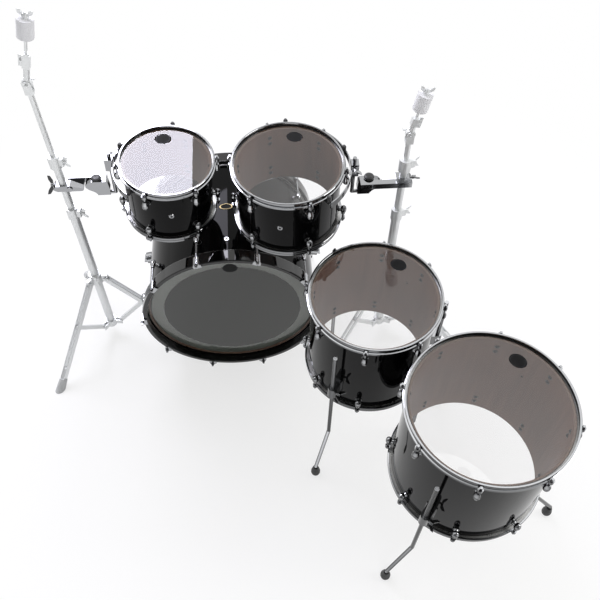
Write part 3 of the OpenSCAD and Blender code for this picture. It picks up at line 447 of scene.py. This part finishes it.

# Plated metals: tint, roughness clean and smudged, smudges a metre, share of the tint that the
# painted edge shade leaves at the edges, the turn over which it falls, how metallic. A word is the
# panel's colour of that name.
METALS = {
    "Chrome": ("chrome", 0.03, 0.08, 9.0, 0.10, EDGE_SHADE_TURN, 1.0),
    "Cast chrome": ("chrome", 0.05, 0.12, 14.0, 0.10, EDGE_SHADE_TURN, 1.0),
    "Claw chrome": ("chrome", 0.08, 0.18, 14.0, 0.45, EDGE_SHADE_TURN, 1.0),
    "Brushed rod steel": ((0.56, 0.57, 0.58), 0.12, 0.24, 30.0, 0.3, SOFT_EDGE_SHADE_TURN, 1.0),
    "Pale satin metal": ("pale_metal", 0.30, 0.45, 12.0, 0.80, SOFT_EDGE_SHADE_TURN, 0.45),
    "Dark screw steel": ((0.04, 0.04, 0.045), 0.25, 0.4, 60.0, 0.5, SOFT_EDGE_SHADE_TURN, 1.0),
    "Satin aluminium": ((0.55, 0.55, 0.54), 0.25, 0.38, 40.0, 0.5, SOFT_EDGE_SHADE_TURN, 1.0),
    "Antique brass": ("brass", 0.18, 0.42, 90.0, 0.6, SOFT_EDGE_SHADE_TURN, 1.0),
}
# Moulded skins: colour, worn colour, pits a metre, roughness smooth and rough, depth of the pits
# in metres, specular level
SKINS = {
    "Pale rubber": (
        (0.52, 0.53, 0.53), (0.66, 0.67, 0.67), 700.0, 0.5, 0.75, 0.0001, 0.5),
    "Black rubber": (
        "rubber", (0.10, 0.10, 0.10), 900.0, 0.42, 0.7, 0.0001, 0.5),
    "Black nylon": (
        (0.018, 0.018, 0.019), (0.08, 0.08, 0.08), 1500.0, 0.28, 0.45, 0.00004, 0.5),
    "Printed black": (
        (0.004, 0.004, 0.0045), (0.012, 0.012, 0.012), 1200.0, 0.45, 0.6, 0.00003, 0.12),
    "Muffling film": (
        (0.105, 0.117, 0.100), (0.125, 0.138, 0.118), 200.0, 0.35, 0.55, 0.00003, 0.5),
    "Front head film": (
        (0.014, 0.014, 0.015), (0.03, 0.03, 0.03), 600.0, 0.16, 0.3, 0.00002, 0.5),
}
# Lacquers: specular level, roughness clean and smudged, radius in metres that softens the edges
LACQUERS = {
    "Black lacquer": (0.09, 0.012, 0.045, 0.0),
    "Hoop lacquer": (0.6, 0.02, 0.06, 0.002),
}
# Bare wood: roughness, the panel's light colour, the dark one as a word or as a share of the
# light one, streaks a metre
WOODS = {
    "Stained inner ply": (0.55, "ply_light", "ply_dark", 70.0),
    "Bare bearing edge": (0.5, "bearing_edge", 0.7, 160.0),
}
PAINTED_SHADE_REACH = (0.2275, 0.2285)  # where the bass drum's opaque dark middle, painted shade of its inside, gives way to the clear ring
KNURL_BRIGHTER = 1.45  # tint of the legs' steel against the chrome's
DUST_LIGHTER = 1.3  # tint of a clear head's dust against its haze


class Finish:
    """A material whose surface shader is one Principled BSDF."""

    def __init__(self, name, **sockets):
        self.material = bpy.data.materials.new(name)
        self.material.use_nodes = True
        self.wires = Wires(self.material.node_tree)
        self.surface = self.material.node_tree.nodes["Principled BSDF"]
        self.set(**sockets)

    def set(self, **sockets):
        for key, value in sockets.items():
            socket = self.surface.inputs[key.replace("_", " ")]
            if isinstance(value, bpy.types.NodeSocket):
                self.wires.join(value, socket)
            else:
                socket.default_value = opaque(value)
        return self

    def effect(self, group, **values):
        node = self.wires.tree.nodes.new("ShaderNodeGroup")
        node.node_tree = group
        for key, value in values.items():
            node.inputs[key].default_value = opaque(value)
        return node.outputs

    def relief(self, height, depth, strength=1.0, edge=0.0):
        values = {"Height": height, "Distance": depth, "Strength": strength}
        if edge:
            values["Normal"] = self.wires.add("Bevel", {"Radius": edge})[0]
        return self.set(Normal=self.wires.add("Bump", values)[0])


def opaque(value):
    """Adds a full alpha to a colour of three numbers, and leaves anything else as it is."""
    return (*value, 1.0) if hasattr(value, "__len__") and len(value) == 3 else value


def tinted(colour):
    """A colour, or the panel's colour of that name."""
    if isinstance(colour, str):
        return tuple(getattr(bpy.context.scene.drum_kit_finishes, colour))
    return colour


def plated(name, tint, clean, smudged, scale, edge_shade_share, turn, metallic):
    """Metal whose tint falls to a share of itself where the surface turns away from the view:
    painted shade on its edges.
    """
    tint = tinted(tint)
    made = Finish(name, Metallic=metallic)
    w = made.wires
    # Painted edge shade: the tint darkens where the surface turns away from the view
    turned = w.spread(w.add("LayerWeight", {"Blend": 0.5})["Facing"], *turn, 0.0, 1.0)
    made.set(Base_Color=w.blend(turned, opaque(tint), opaque([c * edge_shade_share for c in tint])))
    marks = made.effect(smudges(), Scale=scale, Clean=clean, Smudged=smudged)
    made.set(Roughness=marks["Roughness"])
    return made.relief(marks["Height"], 0.00002, 0.25)


def moulding(name, colour, worn, scale, smooth, rough, depth, shine):
    """Rubber, plastic or film with a fine moulded skin."""
    made = Finish(name, Specular_IOR_Level=shine)
    skin = made.effect(moulded(), Color=tinted(colour), Worn=worn, Scale=scale,
                       Smooth=smooth, Rough=rough)
    made.set(Base_Color=skin["Color"], Roughness=skin["Roughness"])
    return made.relief(skin["Height"], depth, 0.4)


def lacquered(name, shine, clean, smudged, edge):
    """Black gloss lacquer with faint marks."""
    made = Finish(name, Base_Color=tinted("lacquer"), Specular_IOR_Level=shine)
    marks = made.effect(smudges(), Scale=6.0, Clean=clean, Smudged=smudged)
    made.set(Roughness=marks["Roughness"])
    return made.relief(marks["Height"], 0.00003, 0.12, edge)


def wooden(name, rough, light, dark, scale):
    """Ply with streaks between a light and a dark colour."""
    light = tinted(light)
    dark = tinted(dark) if isinstance(dark, str) else [c * dark for c in light]
    made = Finish(name, Roughness=rough)
    grain = made.effect(ply_grain(), Light=light, Dark=dark, Scale=scale)
    made.set(Base_Color=grain["Color"])
    return made.relief(grain["Height"], 0.00005, 0.25)


def knurled_leg_steel(name):
    """Bright plated steel with crossed grooves cut into the upper end of each leg."""
    bright = [c * KNURL_BRIGHTER for c in tinted("chrome")]
    # The edge share of 0.02 paints the legs' edges nearly black: painted shade
    made = plated(name, bright, 0.05, 0.12, 20.0, 0.02, EDGE_SHADE_TURN, 1.0)
    cut = made.effect(knurling(), Pitch=1500.0, From=0.47)
    return made.relief(cut["Height"], 0.0006, 0.7)


def pale_felt(name):
    """Wool felt between the wing nut and the seat of a cymbal."""
    made = Finish(name, Roughness=0.95, Sheen_Weight=0.4, Sheen_Roughness=0.5)
    wool = made.effect(felt_fibres(), Light=(0.92, 0.92, 0.94), Dark=(0.80, 0.80, 0.83),
                       Scale=700.0)
    made.set(Base_Color=wool["Color"])
    return made.relief(wool["Height"], 0.0012, 0.8)


def film_gloss(name):
    """The outer face of a clear head, which mirrors a share of the light."""
    share = bpy.context.scene.drum_kit_finishes.film_gloss
    made = Finish(name, Base_Color=(1.0, 1.0, 1.0), Metallic=1.0, Alpha=share)
    marks = made.effect(smudges(), Scale=5.0, Clean=0.0, Smudged=0.015)
    return made.set(Roughness=marks["Roughness"])


def film_haze(name):
    """The inner face of a clear head, which dulls what lies beyond it a little."""
    made = Finish(name, Alpha=bpy.context.scene.drum_kit_finishes.haze_amount)
    haze = tinted("haze")
    skin = made.effect(moulded(), Color=haze, Worn=[c * DUST_LIGHTER for c in haze],
                       Scale=40.0, Smooth=0.5, Rough=0.7)
    return made.set(Base_Color=skin["Color"], Roughness=skin["Roughness"])


def bass_film(name):
    """The bass drum's batter head: painted shade in the middle, where the opaque film takes the
    dark colour of the drum's inside, and clear and glossy over its ring.
    """
    made = Finish(name, Specular_IOR_Level=0.78)
    w, axis = made.wires, Drum("bass").middle
    place = w.add("VectorMath", {0: w.add("TexCoord")["Object"], 1: (1, 0, 1)},
                  operation="MULTIPLY")[0]
    reach = w.add("VectorMath", {0: place, 1: (axis[0], 0, axis[2])},
                  operation="DISTANCE")["Value"]
    ring = w.spread(reach, *PAINTED_SHADE_REACH, 0.0, 1.0)
    # Painted shade: the middle is opaque and coloured like the shaded inside of the drum seen
    # through clear film
    painted_inside_shade = made.effect(moulded(), Color=(0.010, 0.012, 0.009), Worn=(0.016, 0.018, 0.014),
                        Scale=60.0)
    marks = made.effect(smudges(), Scale=5.0, Clean=0.01, Smudged=0.03)
    made.set(Base_Color=w.blend(ring, painted_inside_shade["Color"], WHITE), Roughness=marks["Roughness"])
    gloss = bpy.context.scene.drum_kit_finishes.film_gloss
    return made.set(Metallic=ring, Alpha=w.spread(ring, 0.0, 1.0, 1.0, gloss))


RECIPES = {
    "Knurled leg steel": knurled_leg_steel, "Pale felt": pale_felt, "Film gloss": film_gloss,
    "Film haze": film_haze, "Bass film": bass_film,
}


def finish(name):
    """Finds a finish's material by its name, or makes it."""
    kept = bpy.data.materials.get(name)
    if kept:
        return kept
    for table, make in ((METALS, plated), (SKINS, moulding), (LACQUERS, lacquered),
                        (WOODS, wooden)):
        if name in table:
            return make(name, *table[name]).material
    return RECIPES[name](name).material


# ------------------------------------------------------------------ operators
class DRUMKIT_OT_shells(bpy.types.Operator):
    """Lacquers the shells, stains their inner ply and leaves their bearing edges bare"""
    bl_idname = "drumkit.shells"
    bl_label = "Finish the shells"

    INNER_FACE = (0.004, 0.012)  # how far inside the outer face the inner one is looked for
    EDGE_SLOPE = 0.3  # least share of a bearing edge's normal along the axis
    EDGE_DEPTH = 0.006  # how far the bearing edges reach in from the shell's ends
    GROMMET_RISE = 0.0004  # how far the vent's grommet stands off the outer face

    def execute(self, context):
        nearest, furthest = self.INNER_FACE
        for key in DRUMS:
            drum = Drum(key)

            def inside(points, normals, drum=drum):
                local, facing = drum.local(points), drum.facing(normals)
                reach = off_axis(local)
                inward = np.einsum("ij,ij->i", local[:, :2], facing[:, :2]) < 0
                inner = (reach < drum.radius - nearest) & (reach > drum.radius - furthest)
                return inward & inner & (abs(facing[:, 2]) < ACROSS)

            def edge(points, normals, drum=drum):
                sloped = abs(drum.facing(normals)[:, 2]) > self.EDGE_SLOPE
                return sloped & (abs(drum.local(points)[:, 2]) > drum.half - self.EDGE_DEPTH)

            def vent(points, normals, drum=drum):
                return off_axis(drum.local(points)) > drum.radius + self.GROMMET_RISE

            paint(drum.shell, finish("Black lacquer"), (finish("Stained inner ply"), inside),
                  (finish("Bare bearing edge"), edge), (finish("Chrome"), vent))
        return {"FINISHED"}


class DRUMKIT_OT_heads(bpy.types.Operator):
    """Makes the films of the heads clear and glossy, and their rings satin aluminium"""
    bl_idname = "drumkit.heads"
    bl_label = "Finish the heads"

    FILM_REACH = 0.0006  # how far the film reaches past the shell's outer face
    HEADS = {"tom_10_heads": ("ten",), "tom_12_heads": ("twelve",),
             "floor_tom_heads": ("fourteen", "sixteen"), "bass_drum_heads": ("bass",)}

    def execute(self, context):
        for heads, keys in self.HEADS.items():
            drums = [Drum(k) for k in keys]

            def film(points, normals, outer, batter=None):
                which = nearest_drum(drums, points)
                found = np.zeros(len(points), bool)
                for n, drum in enumerate(drums):
                    local, facing = drum.local(points), drum.facing(normals)
                    flat = abs(facing[:, 2]) > ALONG
                    flat &= off_axis(local) < drum.radius + self.FILM_REACH
                    side = facing[:, 2] * np.sign(local[:, 2]) > 0
                    found |= (which == n) & flat & (side == outer)
                    if batter is not None:
                        found &= (local[:, 2] > 0) == batter
                return found

            gloss, haze = finish("Film gloss"), finish("Film haze")
            if keys == ("bass",):
                paint(heads, finish("Satin aluminium"),
                      (finish("Bass film"), lambda p, n: film(p, n, True, True)),
                      (haze, lambda p, n: film(p, n, False, True)),
                      (finish("Front head film"), lambda p, n: film(p, n, True, False)),
                      (finish("Printed black"), lambda p, n: film(p, n, False, False)))
            else:
                paint(heads, finish("Satin aluminium"), (gloss, lambda p, n: film(p, n, True)),
                      (haze, lambda p, n: film(p, n, False)))
        return {"FINISHED"}


class DRUMKIT_OT_hardware(bpy.types.Operator):
    """Plates the hoops, lugs, rods, claws and mounts, and blackens their rubber and gaskets"""
    bl_idname = "drumkit.hardware"
    bl_label = "Finish the hardware"

    GASKET = 0.0017  # how far the gaskets under the lugs reach out from the shell
    BUSH_REACH = 0.0262  # how far the rubber bushes reach out from the shell
    BUSH_LOW = 0.0122  # how far below the shell's end they reach down
    KNOB_OUT, KNOB_SIDE = 0.047, 0.0005  # place of an arm's grip knob from the tilt's pivot
    KNOB_RADIUS, KNOB_LOW = 0.0165, 0.0501
    PLATED = ("tom_10_hoops", "tom_12_hoops", "floor_tom_hoops", "tom_10_tension_rods",
              "tom_12_tension_rods", "floor_drum_tension_rods")
    LUGS = {"tom_10_lugs": ("ten",), "tom_12_lugs": ("twelve",),
            "floor_tom_lugs": ("fourteen", "sixteen"), "bass_drum_lugs": ("bass",)}

    def execute(self, context):
        cast, chrome = finish("Cast chrome"), finish("Chrome")
        for node in self.PLATED:
            paint(node, cast if "hoops" in node else chrome)
        paint("bass_drum_claws", finish("Claw chrome"))
        paint("bass_drum_hoops", finish("Hoop lacquer"))
        for node, keys in self.LUGS.items():
            drums = [Drum(k) for k in keys]

            def gasket(points, normals, drums=drums):
                which = nearest_drum(drums, points)
                reach = np.array([off_axis(d.local(points)) - d.radius for d in drums])
                return reach[which, np.arange(len(points))] < self.GASKET

            paint(node, chrome, (finish("Black nylon"), gasket))
        for key in ("ten", "twelve"):
            self.mount(Drum(key), 1 if key == "twelve" else -1)
        return {"FINISHED"}

    def mount(self, drum, side):
        """Finishes a rack tom's mount, rod and arm; the arm leaves the drum on that side."""
        cast, rubber = finish("Cast chrome"), finish("Black rubber")

        def bush(points, normals):
            local = drum.local(points)
            near = off_axis(local) - drum.radius < self.BUSH_REACH
            return near & (local[:, 2] > drum.half - self.BUSH_LOW)

        def knob(points, normals):
            away = np.hypot(points[:, 0] - at[0] - side * self.KNOB_OUT,
                            points[:, 1] - at[1] + side * self.KNOB_SIDE)
            return (away < self.KNOB_RADIUS) & (points[:, 2] > at[2] + self.KNOB_LOW)

        at = JOINTS[drum.shell.replace("shell", "tilt")]["pos_m"]
        paint(drum.shell.replace("shell", "mount"), cast, (rubber, bush))
        paint(drum.shell.replace("shell", "l_rod"), finish("Chrome"))
        paint(drum.shell.replace("shell", "arm"), cast, (finish("Black nylon"), knob))


class DRUMKIT_OT_legs(bpy.types.Operator):
    """Plates the floor tom legs and the spurs, with knurled tops and rubber feet"""
    bl_idname = "drumkit.legs"
    bl_label = "Finish the legs and spurs"

    FOOT_TOP = 0.0421  # height of a leg's rubber foot above the floor
    TIP_TOP = 0.0185  # height of a spur's rubber tip above the floor

    def execute(self, context):
        rubber = finish("Black rubber")
        for tom in (14, 16):
            for leg in (1, 2, 3):
                paint(f"tom_{tom}_leg_{leg}", finish("Knurled leg steel"),
                      (rubber, lambda p, n: p[:, 2] < self.FOOT_TOP))
        paint("leg_brackets", finish("Cast chrome"))
        paint("spur_brackets", finish("Cast chrome"))
        for side in ("left", "right"):
            paint(f"spur_{side}", finish("Chrome"))
            paint(f"spur_rod_{side}", finish("Brushed rod steel"),
                  (rubber, lambda p, n: p[:, 2] < self.TIP_TOP))
        return {"FINISHED"}


class DRUMKIT_OT_stands(bpy.types.Operator):
    """Gives the stands pale satin metal, with pale rubber feet and felts"""
    bl_idname = "drumkit.stands"
    bl_label = "Finish the stands"
    POSTS = {"left": (15.0, 0.138), "right": (10.0, 0.084)}  # a tilter's lean, and its felts' start
    FELTS = 0.0512  # height of the two felts with the gap that the cymbal takes
    POST = 0.0045  # radius inside which the post through the felts is metal
    SEAT = 0.0002  # how far past the seat the felts are looked for
    LEG_SPREAD = 40  # degrees between a tripod's leg and the upright
    FOOT = 0.056  # length of a tripod leg's rubber foot

    def execute(self, context):
        metal, rubber, felt = (finish(n) for n in ("Pale satin metal", "Pale rubber", "Pale felt"))
        paint("stand_base_tubes", metal)
        spread = math.radians(self.LEG_SPREAD)
        for side, (lean, post) in self.POSTS.items():
            braces = (f"tripod_brace_{k}" for k in (1, 2, 3))
            for part in ("middle_tube", "upper_rod", "tripod_hub", *braces):
                paint(f"{side}_{part}", metal)
            at = np.array(JOINTS[f"{side}_cymbal_tilt"]["pos_m"])
            rod = np.array((math.sin(math.radians(lean)), 0, math.cos(math.radians(lean))))

            def wool(points, normals, at=at, rod=rod, post=post):
                along = (points - at) @ rod
                away = np.linalg.norm(points - at - along[:, None] * rod, axis=1)
                felts = (along > post + self.SEAT) & (along < post + self.FELTS)
                return felts & (away > self.POST)

            paint(f"{side}_tilter", metal, (felt, wool))
            for leg in (1, 2, 3):
                axis = JOINTS[f"{side}_leg_{leg}_fold"]["axis"]
                out = np.array((axis[1], -axis[0], 0.0)) * math.sin(spread)
                out += np.array((0, 0, -math.cos(spread)))
                node = f"{side}_tripod_leg_{leg}"
                start = (corners_of(frame["nodes"][node]) @ out).max() - self.FOOT
                paint(node, metal,
                      (rubber, lambda p, n, out=out, start=start: p @ out > start))
        return {"FINISHED"}


class DRUMKIT_OT_lug_screws(bpy.types.Operator):
    """Puts a pair of screws with washers inside the shell behind each lug"""
    bl_idname = "drumkit.lug_screws"
    bl_label = "Add the lug screws"

    # Radius as a share of the screw's, and height
    WASHER = ((0, 0), (1.6, 0), (1.65, 0.0003), (1.55, 0.0011), (0.9, 0.0012))
    HEAD = ((0.95, 0.0012), (1, 0.0018), (0.92, 0.0030), (0.6, 0.0038), (0.32, 0.0040),
            (0.3, 0.0026), (0, 0.0025))
    STEPS = 20
    DROP, BASS_DROP = 0.0425, 0.070  # from a shell's end to the middle of a pair

    def execute(self, context):
        sizes = context.scene.drum_kit_sizes
        washer, head = ([(sizes.screw_radius * share, height) for share, height in profile]
                        for profile in (self.WASHER, self.HEAD))
        for key in DRUMS:
            drum = Drum(key)
            drop = self.BASS_DROP if key == "bass" else self.DROP
            bm = bmesh.new()
            for lug in range(drum.lugs):
                angle = drum.first_lug + 360 * lug / drum.lugs
                for end in (-1, 1):
                    for step in (-0.5, 0.5):
                        height = end * (drum.half - drop) + step * sizes.screw_spacing
                        place = drum.matrix(angle, drum.radius - SHELL_WALL, height, "in")
                        lathe(bm, place, washer, self.STEPS, 1)
                        lathe(bm, place, head, self.STEPS, 0)
            piece(f"{key}_lug_screws", bm, [finish("Dark screw steel"), finish("Black nylon")],
                  drum.body)
        return {"FINISHED"}


class DRUMKIT_OT_patches(bpy.types.Operator):
    """Prints a bare black patch on each batter head"""
    bl_idname = "drumkit.patches"
    bl_label = "Add the head patches"
    # Angle on the head and distance from its middle
    PLACES = {"bass": (88.5, 0.223), "ten": (98.4, 0.0884), "twelve": (76.5, 0.1089),
              "fourteen": (52.3, 0.1299), "sixteen": (51.9, 0.1547)}
    # Share of the patch's size, lower and upper face, material: the patch, its line, its middle
    LAYERS = ((1.0, 0.00005, 0.00022, 0), (0.86, 0.0002, 0.0003, 1), (0.82, 0.00028, 0.0004, 0))
    STEPS = 72

    def execute(self, context):
        sizes = context.scene.drum_kit_sizes
        for key, (angle, reach) in self.PLACES.items():
            drum = Drum(key)
            turn = math.radians(angle)
            place = drum.matrix(0, 0, drum.half + FILM, "up")
            place = place @ Matrix.Translation((reach * math.cos(turn), reach * math.sin(turn), 0))
            place = place @ Matrix.Rotation(turn - math.pi / 2, 4, "Z")
            bm = bmesh.new()
            for grow, low, high, shade in self.LAYERS:
                outline = oval(sizes.patch_width, sizes.patch_height, self.STEPS, grow)
                slab(bm, place, outline, low, high, shade)
            piece(f"{key}_patch", bm, [finish("Printed black"), finish("Dark screw steel")],
                  drum.body)
        return {"FINISHED"}


class DRUMKIT_OT_muffling(bpy.types.Operator):
    """Puts the muffling ring under the bass drum's batter head"""
    bl_idname = "drumkit.muffling"
    bl_label = "Add the muffling ring"

    INSET = 0.0095  # from the shell's outer face to the ring's outer edge
    BELOW = 0.0010  # from the shell's end to the ring's upper face
    # Its profile: distance from the inner or outer edge, and depth below the upper face
    INNER_EDGE = ((0, 0.0006), (0.0008, 0), (0.004, 0.0001))
    OUTER_EDGE = ((0.002, 0.0001), (0, 0.0006), (0.001, 0.0012))
    INNER_BACK = ((0.002, 0.0012), (0, 0.0006))
    STEPS = 160

    def execute(self, context):
        drum = Drum("bass")
        inner = context.scene.drum_kit_sizes.muffle_radius
        outer, top = drum.radius - self.INSET, drum.half - self.BELOW
        profile = [(inner + step, top - depth) for step, depth in self.INNER_EDGE]
        profile += [(outer - step, top - depth) for step, depth in self.OUTER_EDGE]
        profile += [(inner + step, top - depth) for step, depth in self.INNER_BACK]
        bm = bmesh.new()
        lathe(bm, drum.matrix(0, 0, 0, "up"), profile, self.STEPS)
        bmesh.ops.remove_doubles(bm, verts=bm.verts, dist=1e-6)
        piece("muffling_ring", bm, [finish("Muffling film")], drum.body)
        return {"FINISHED"}


class DRUMKIT_OT_badge(bpy.types.Operator):
    """Pins a bare oval badge on top of the bass drum"""
    bl_idname = "drumkit.badge"
    bl_label = "Add the badge"

    BACK = 0.2088  # from the shell's batter end
    SIZE = (0.043, 0.025)
    # Share of the badge's size, and height: a raised rim round a sunk face
    STEPS_IN = ((1.0, -0.0006), (1.0, 0.0008), (0.97, 0.0013), (0.86, 0.0013), (0.83, 0.0009),
                (0.0, 0.0011))
    FACE = 4  # which of the steps is the black face
    PIN = ((0, 0), (0.0013, 0), (0.0012, 0.0005), (0.0006, 0.0008), (0, 0.0009))
    PINS_AT, PINS_UP = (-0.0165, 0.0165), 0.0009
    STEPS = 72

    def execute(self, context):
        drum = Drum("bass")

        def bow(x):
            """How far the shell has curved away at that distance from the badge's middle."""
            return math.sqrt(drum.radius ** 2 - x * x) - drum.radius

        place = drum.matrix(90, drum.radius, drum.half - self.BACK, "out")
        bm = bmesh.new()
        rings = []
        for grow, lift in self.STEPS_IN:
            rings.append([bm.verts.new(place @ Vector((x, y, lift + bow(x))))
                          for x, y in oval(*self.SIZE, self.STEPS if grow else 1, grow)])
        for n, (low, high) in enumerate(zip(rings, rings[1:])):
            for k in range(self.STEPS):
                span(bm, low, high, k, 1 if n == self.FACE else 0)
        for x in self.PINS_AT:
            lathe(bm, place @ Matrix.Translation((x, 0, bow(x) + self.PINS_UP)), self.PIN, 16, 0)
        piece("bass_badge", bm, [finish("Antique brass"), finish("Printed black")],
              drum.body)
        return {"FINISHED"}


class DRUMKIT_OT_stage(bpy.types.Operator):
    """Builds the floor, the studio light and the camera"""
    bl_idname = "drumkit.stage"
    bl_label = "Build the stage"

    FLOOR_HALF, FLOOR_DROP = 14, 0.0005
    GRAIN, ROUGHNESS, SHINE = (40.0, 4.0), (0.3, 0.7, 0.62, 0.74), 0.15
    FADE = (0.8, 1.9)  # distances over which the floor turns plain white
    DUSK = (-0.30, 0.22)  # how far ahead the studio's dark side ends and its bright side starts
    # Side lamps: power in watts, width and height, place, target, colour
    SIDE = (34, (1.4, 2.2), (3.2, -0.6, 2.6), (0.2, 0, 0.5), (1.0, 0.99, 0.97))
    FILL = (45, (3.0, 2.0), (-0.4, -3.4, 2.6), (0, 0, 0.5), (1.0, 1.0, 1.0))
    OVERHEAD = ((1.7, 1.7), (-1.085, 2.06, 3.0), None, (0.88, 0.87, 1.0))
    LENS, SENSOR, SHIFT = 43.44, 36, (0.0133, 0.010)
    VIEWPOINT, VIEW = (-0.059, -1.232, 2.282), (0.0371, 0.5823, -0.8121)

    def execute(self, context):
        scene, studio = context.scene, context.scene.drum_kit_studio
        self.floor(scene, studio)
        self.softbox(scene, "softbox_overhead", studio.softbox_power, *self.OVERHEAD)
        self.softbox(scene, "softbox_side", *self.SIDE)
        self.softbox(scene, "softbox_fill", *self.FILL).visible_glossy = False
        self.world(scene, studio)
        self.camera(scene)
        scene.view_settings.view_transform = "Standard"
        return {"FINISHED"}

    def floor(self, scene, studio):
        bm = bmesh.new()
        bmesh.ops.create_grid(bm, x_segments=8, y_segments=8, size=self.FLOOR_HALF)
        mesh = bpy.data.meshes.new("studio_floor")
        bm.to_mesh(mesh)
        bm.free()
        floor = bpy.data.objects.new("studio_floor", mesh)
        floor.location = (0, 0, -self.FLOOR_DROP)
        scene.collection.objects.link(floor)
        mesh.materials.append(self.floor_finish(studio))

    def floor_finish(self, studio):
        material = bpy.data.materials.new("White studio floor")
        material.use_nodes = True
        w = Wires(material.node_tree)
        surface = material.node_tree.nodes["Principled BSDF"]
        output = material.node_tree.nodes["Material Output"]
        place = w.add("TexCoord")["Object"]
        grain = w.noise(place, *self.GRAIN)[0]
        w.join(w.spread(grain, *self.ROUGHNESS), surface.inputs["Roughness"])
        surface.inputs["Base Color"].default_value = (*studio.floor, 1)
        surface.inputs["Specular IOR Level"].default_value = self.SHINE
        path = w.add("LightPath")
        through = w.math("MAXIMUM", path["Is Glossy Ray"], path["Is Transmission Ray"])
        seen = w.math("MAXIMUM", path["Is Camera Ray"], through)
        white = w.add("Emission", {"Color": WHITE, "Strength": 1.0})[0]
        away = w.add("VectorMath", {0: place}, operation="LENGTH")["Value"]
        share = w.math("MULTIPLY", seen, w.spread(away, *self.FADE, studio.whiteness, 1.0))
        mixed = w.add("MixShader", {0: share, 1: surface.outputs[0], 2: white})[0]
        w.join(mixed, output.inputs["Surface"])
        return material

    def softbox(self, scene, name, power, size, place, target, colour):
        """A square lamp that faces its target, or straight down without one."""
        light = bpy.data.lights.new(name, "AREA")
        light.shape, light.size, light.size_y = "RECTANGLE", *size
        light.energy, light.color = power, colour
        lamp = bpy.data.objects.new(name, light)
        lamp.location = place
        if target:
            aim = Vector(target) - Vector(place)
            lamp.rotation_euler = aim.to_track_quat("-Z", "Y").to_euler()
        scene.collection.objects.link(lamp)
        return lamp

    def world(self, scene, studio):
        world = bpy.data.worlds.new("studio")
        world.use_nodes = True
        scene.world = world
        w = Wires(world.node_tree)
        sky = world.node_tree.nodes["Background"]
        ahead = w.add("SeparateXYZ", {0: w.add("TexCoord")["Generated"]})[1]
        strength = w.spread(ahead, *self.DUSK, studio.behind, studio.ahead)
        sky.inputs["Color"].default_value = WHITE
        seen = w.add("LightPath")["Is Camera Ray"]
        w.join(w.add("Mix", {0: seen, 2: strength, 3: 1.0})[0], sky.inputs["Strength"])

    def camera(self, scene):
        camera = bpy.data.cameras.new("camera")
        camera.lens, camera.sensor_width = self.LENS, self.SENSOR
        camera.shift_x, camera.shift_y = self.SHIFT
        ahead = Vector(self.VIEW).normalized()
        right = ahead.cross(Vector((0, 0, 1))).normalized()
        place = Matrix((right, right.cross(ahead), -ahead)).transposed().to_4x4()
        place.translation = self.VIEWPOINT
        holder = bpy.data.objects.new("camera", camera)
        holder.matrix_world = place
        scene.collection.objects.link(holder)
        scene.camera = holder


class DRUMKIT_PT_panel(bpy.types.Panel):
    bl_idname = "DRUMKIT_PT_panel"
    bl_label = "Drum Kit"
    bl_space_type = "VIEW_3D"
    bl_region_type = "UI"
    bl_category = "Drum Kit"

    def draw(self, context):
        for name in STEPS:
            self.layout.operator("drumkit." + name)
        scene = context.scene
        for group in (scene.drum_kit_sizes, scene.drum_kit_finishes, scene.drum_kit_studio):
            box = self.layout.box()
            for key in group.__annotations__:
                box.prop(group, key)


STEPS = ("shells", "heads", "hardware", "legs", "stands", "lug_screws", "patches", "muffling",
         "badge", "stage")
CLASSES = (
    KitSizes, KitFinishes, KitStudio, DRUMKIT_OT_shells, DRUMKIT_OT_heads, DRUMKIT_OT_hardware,
    DRUMKIT_OT_legs, DRUMKIT_OT_stands, DRUMKIT_OT_lug_screws, DRUMKIT_OT_patches,
    DRUMKIT_OT_muffling, DRUMKIT_OT_badge, DRUMKIT_OT_stage, DRUMKIT_PT_panel)


def register():
    for cls in CLASSES:
        bpy.utils.register_class(cls)
    bpy.types.Scene.drum_kit_sizes = bpy.props.PointerProperty(type=KitSizes)
    bpy.types.Scene.drum_kit_finishes = bpy.props.PointerProperty(type=KitFinishes)
    bpy.types.Scene.drum_kit_studio = bpy.props.PointerProperty(type=KitStudio)


def unregister():
    for name in ("drum_kit_sizes", "drum_kit_finishes", "drum_kit_studio"):
        delattr(bpy.types.Scene, name)
    for cls in reversed(CLASSES):
        bpy.utils.unregister_class(cls)


def main():
    register()
    for name in STEPS:
        getattr(bpy.ops.drumkit, name)()


if __name__ == "__main__":
    main()
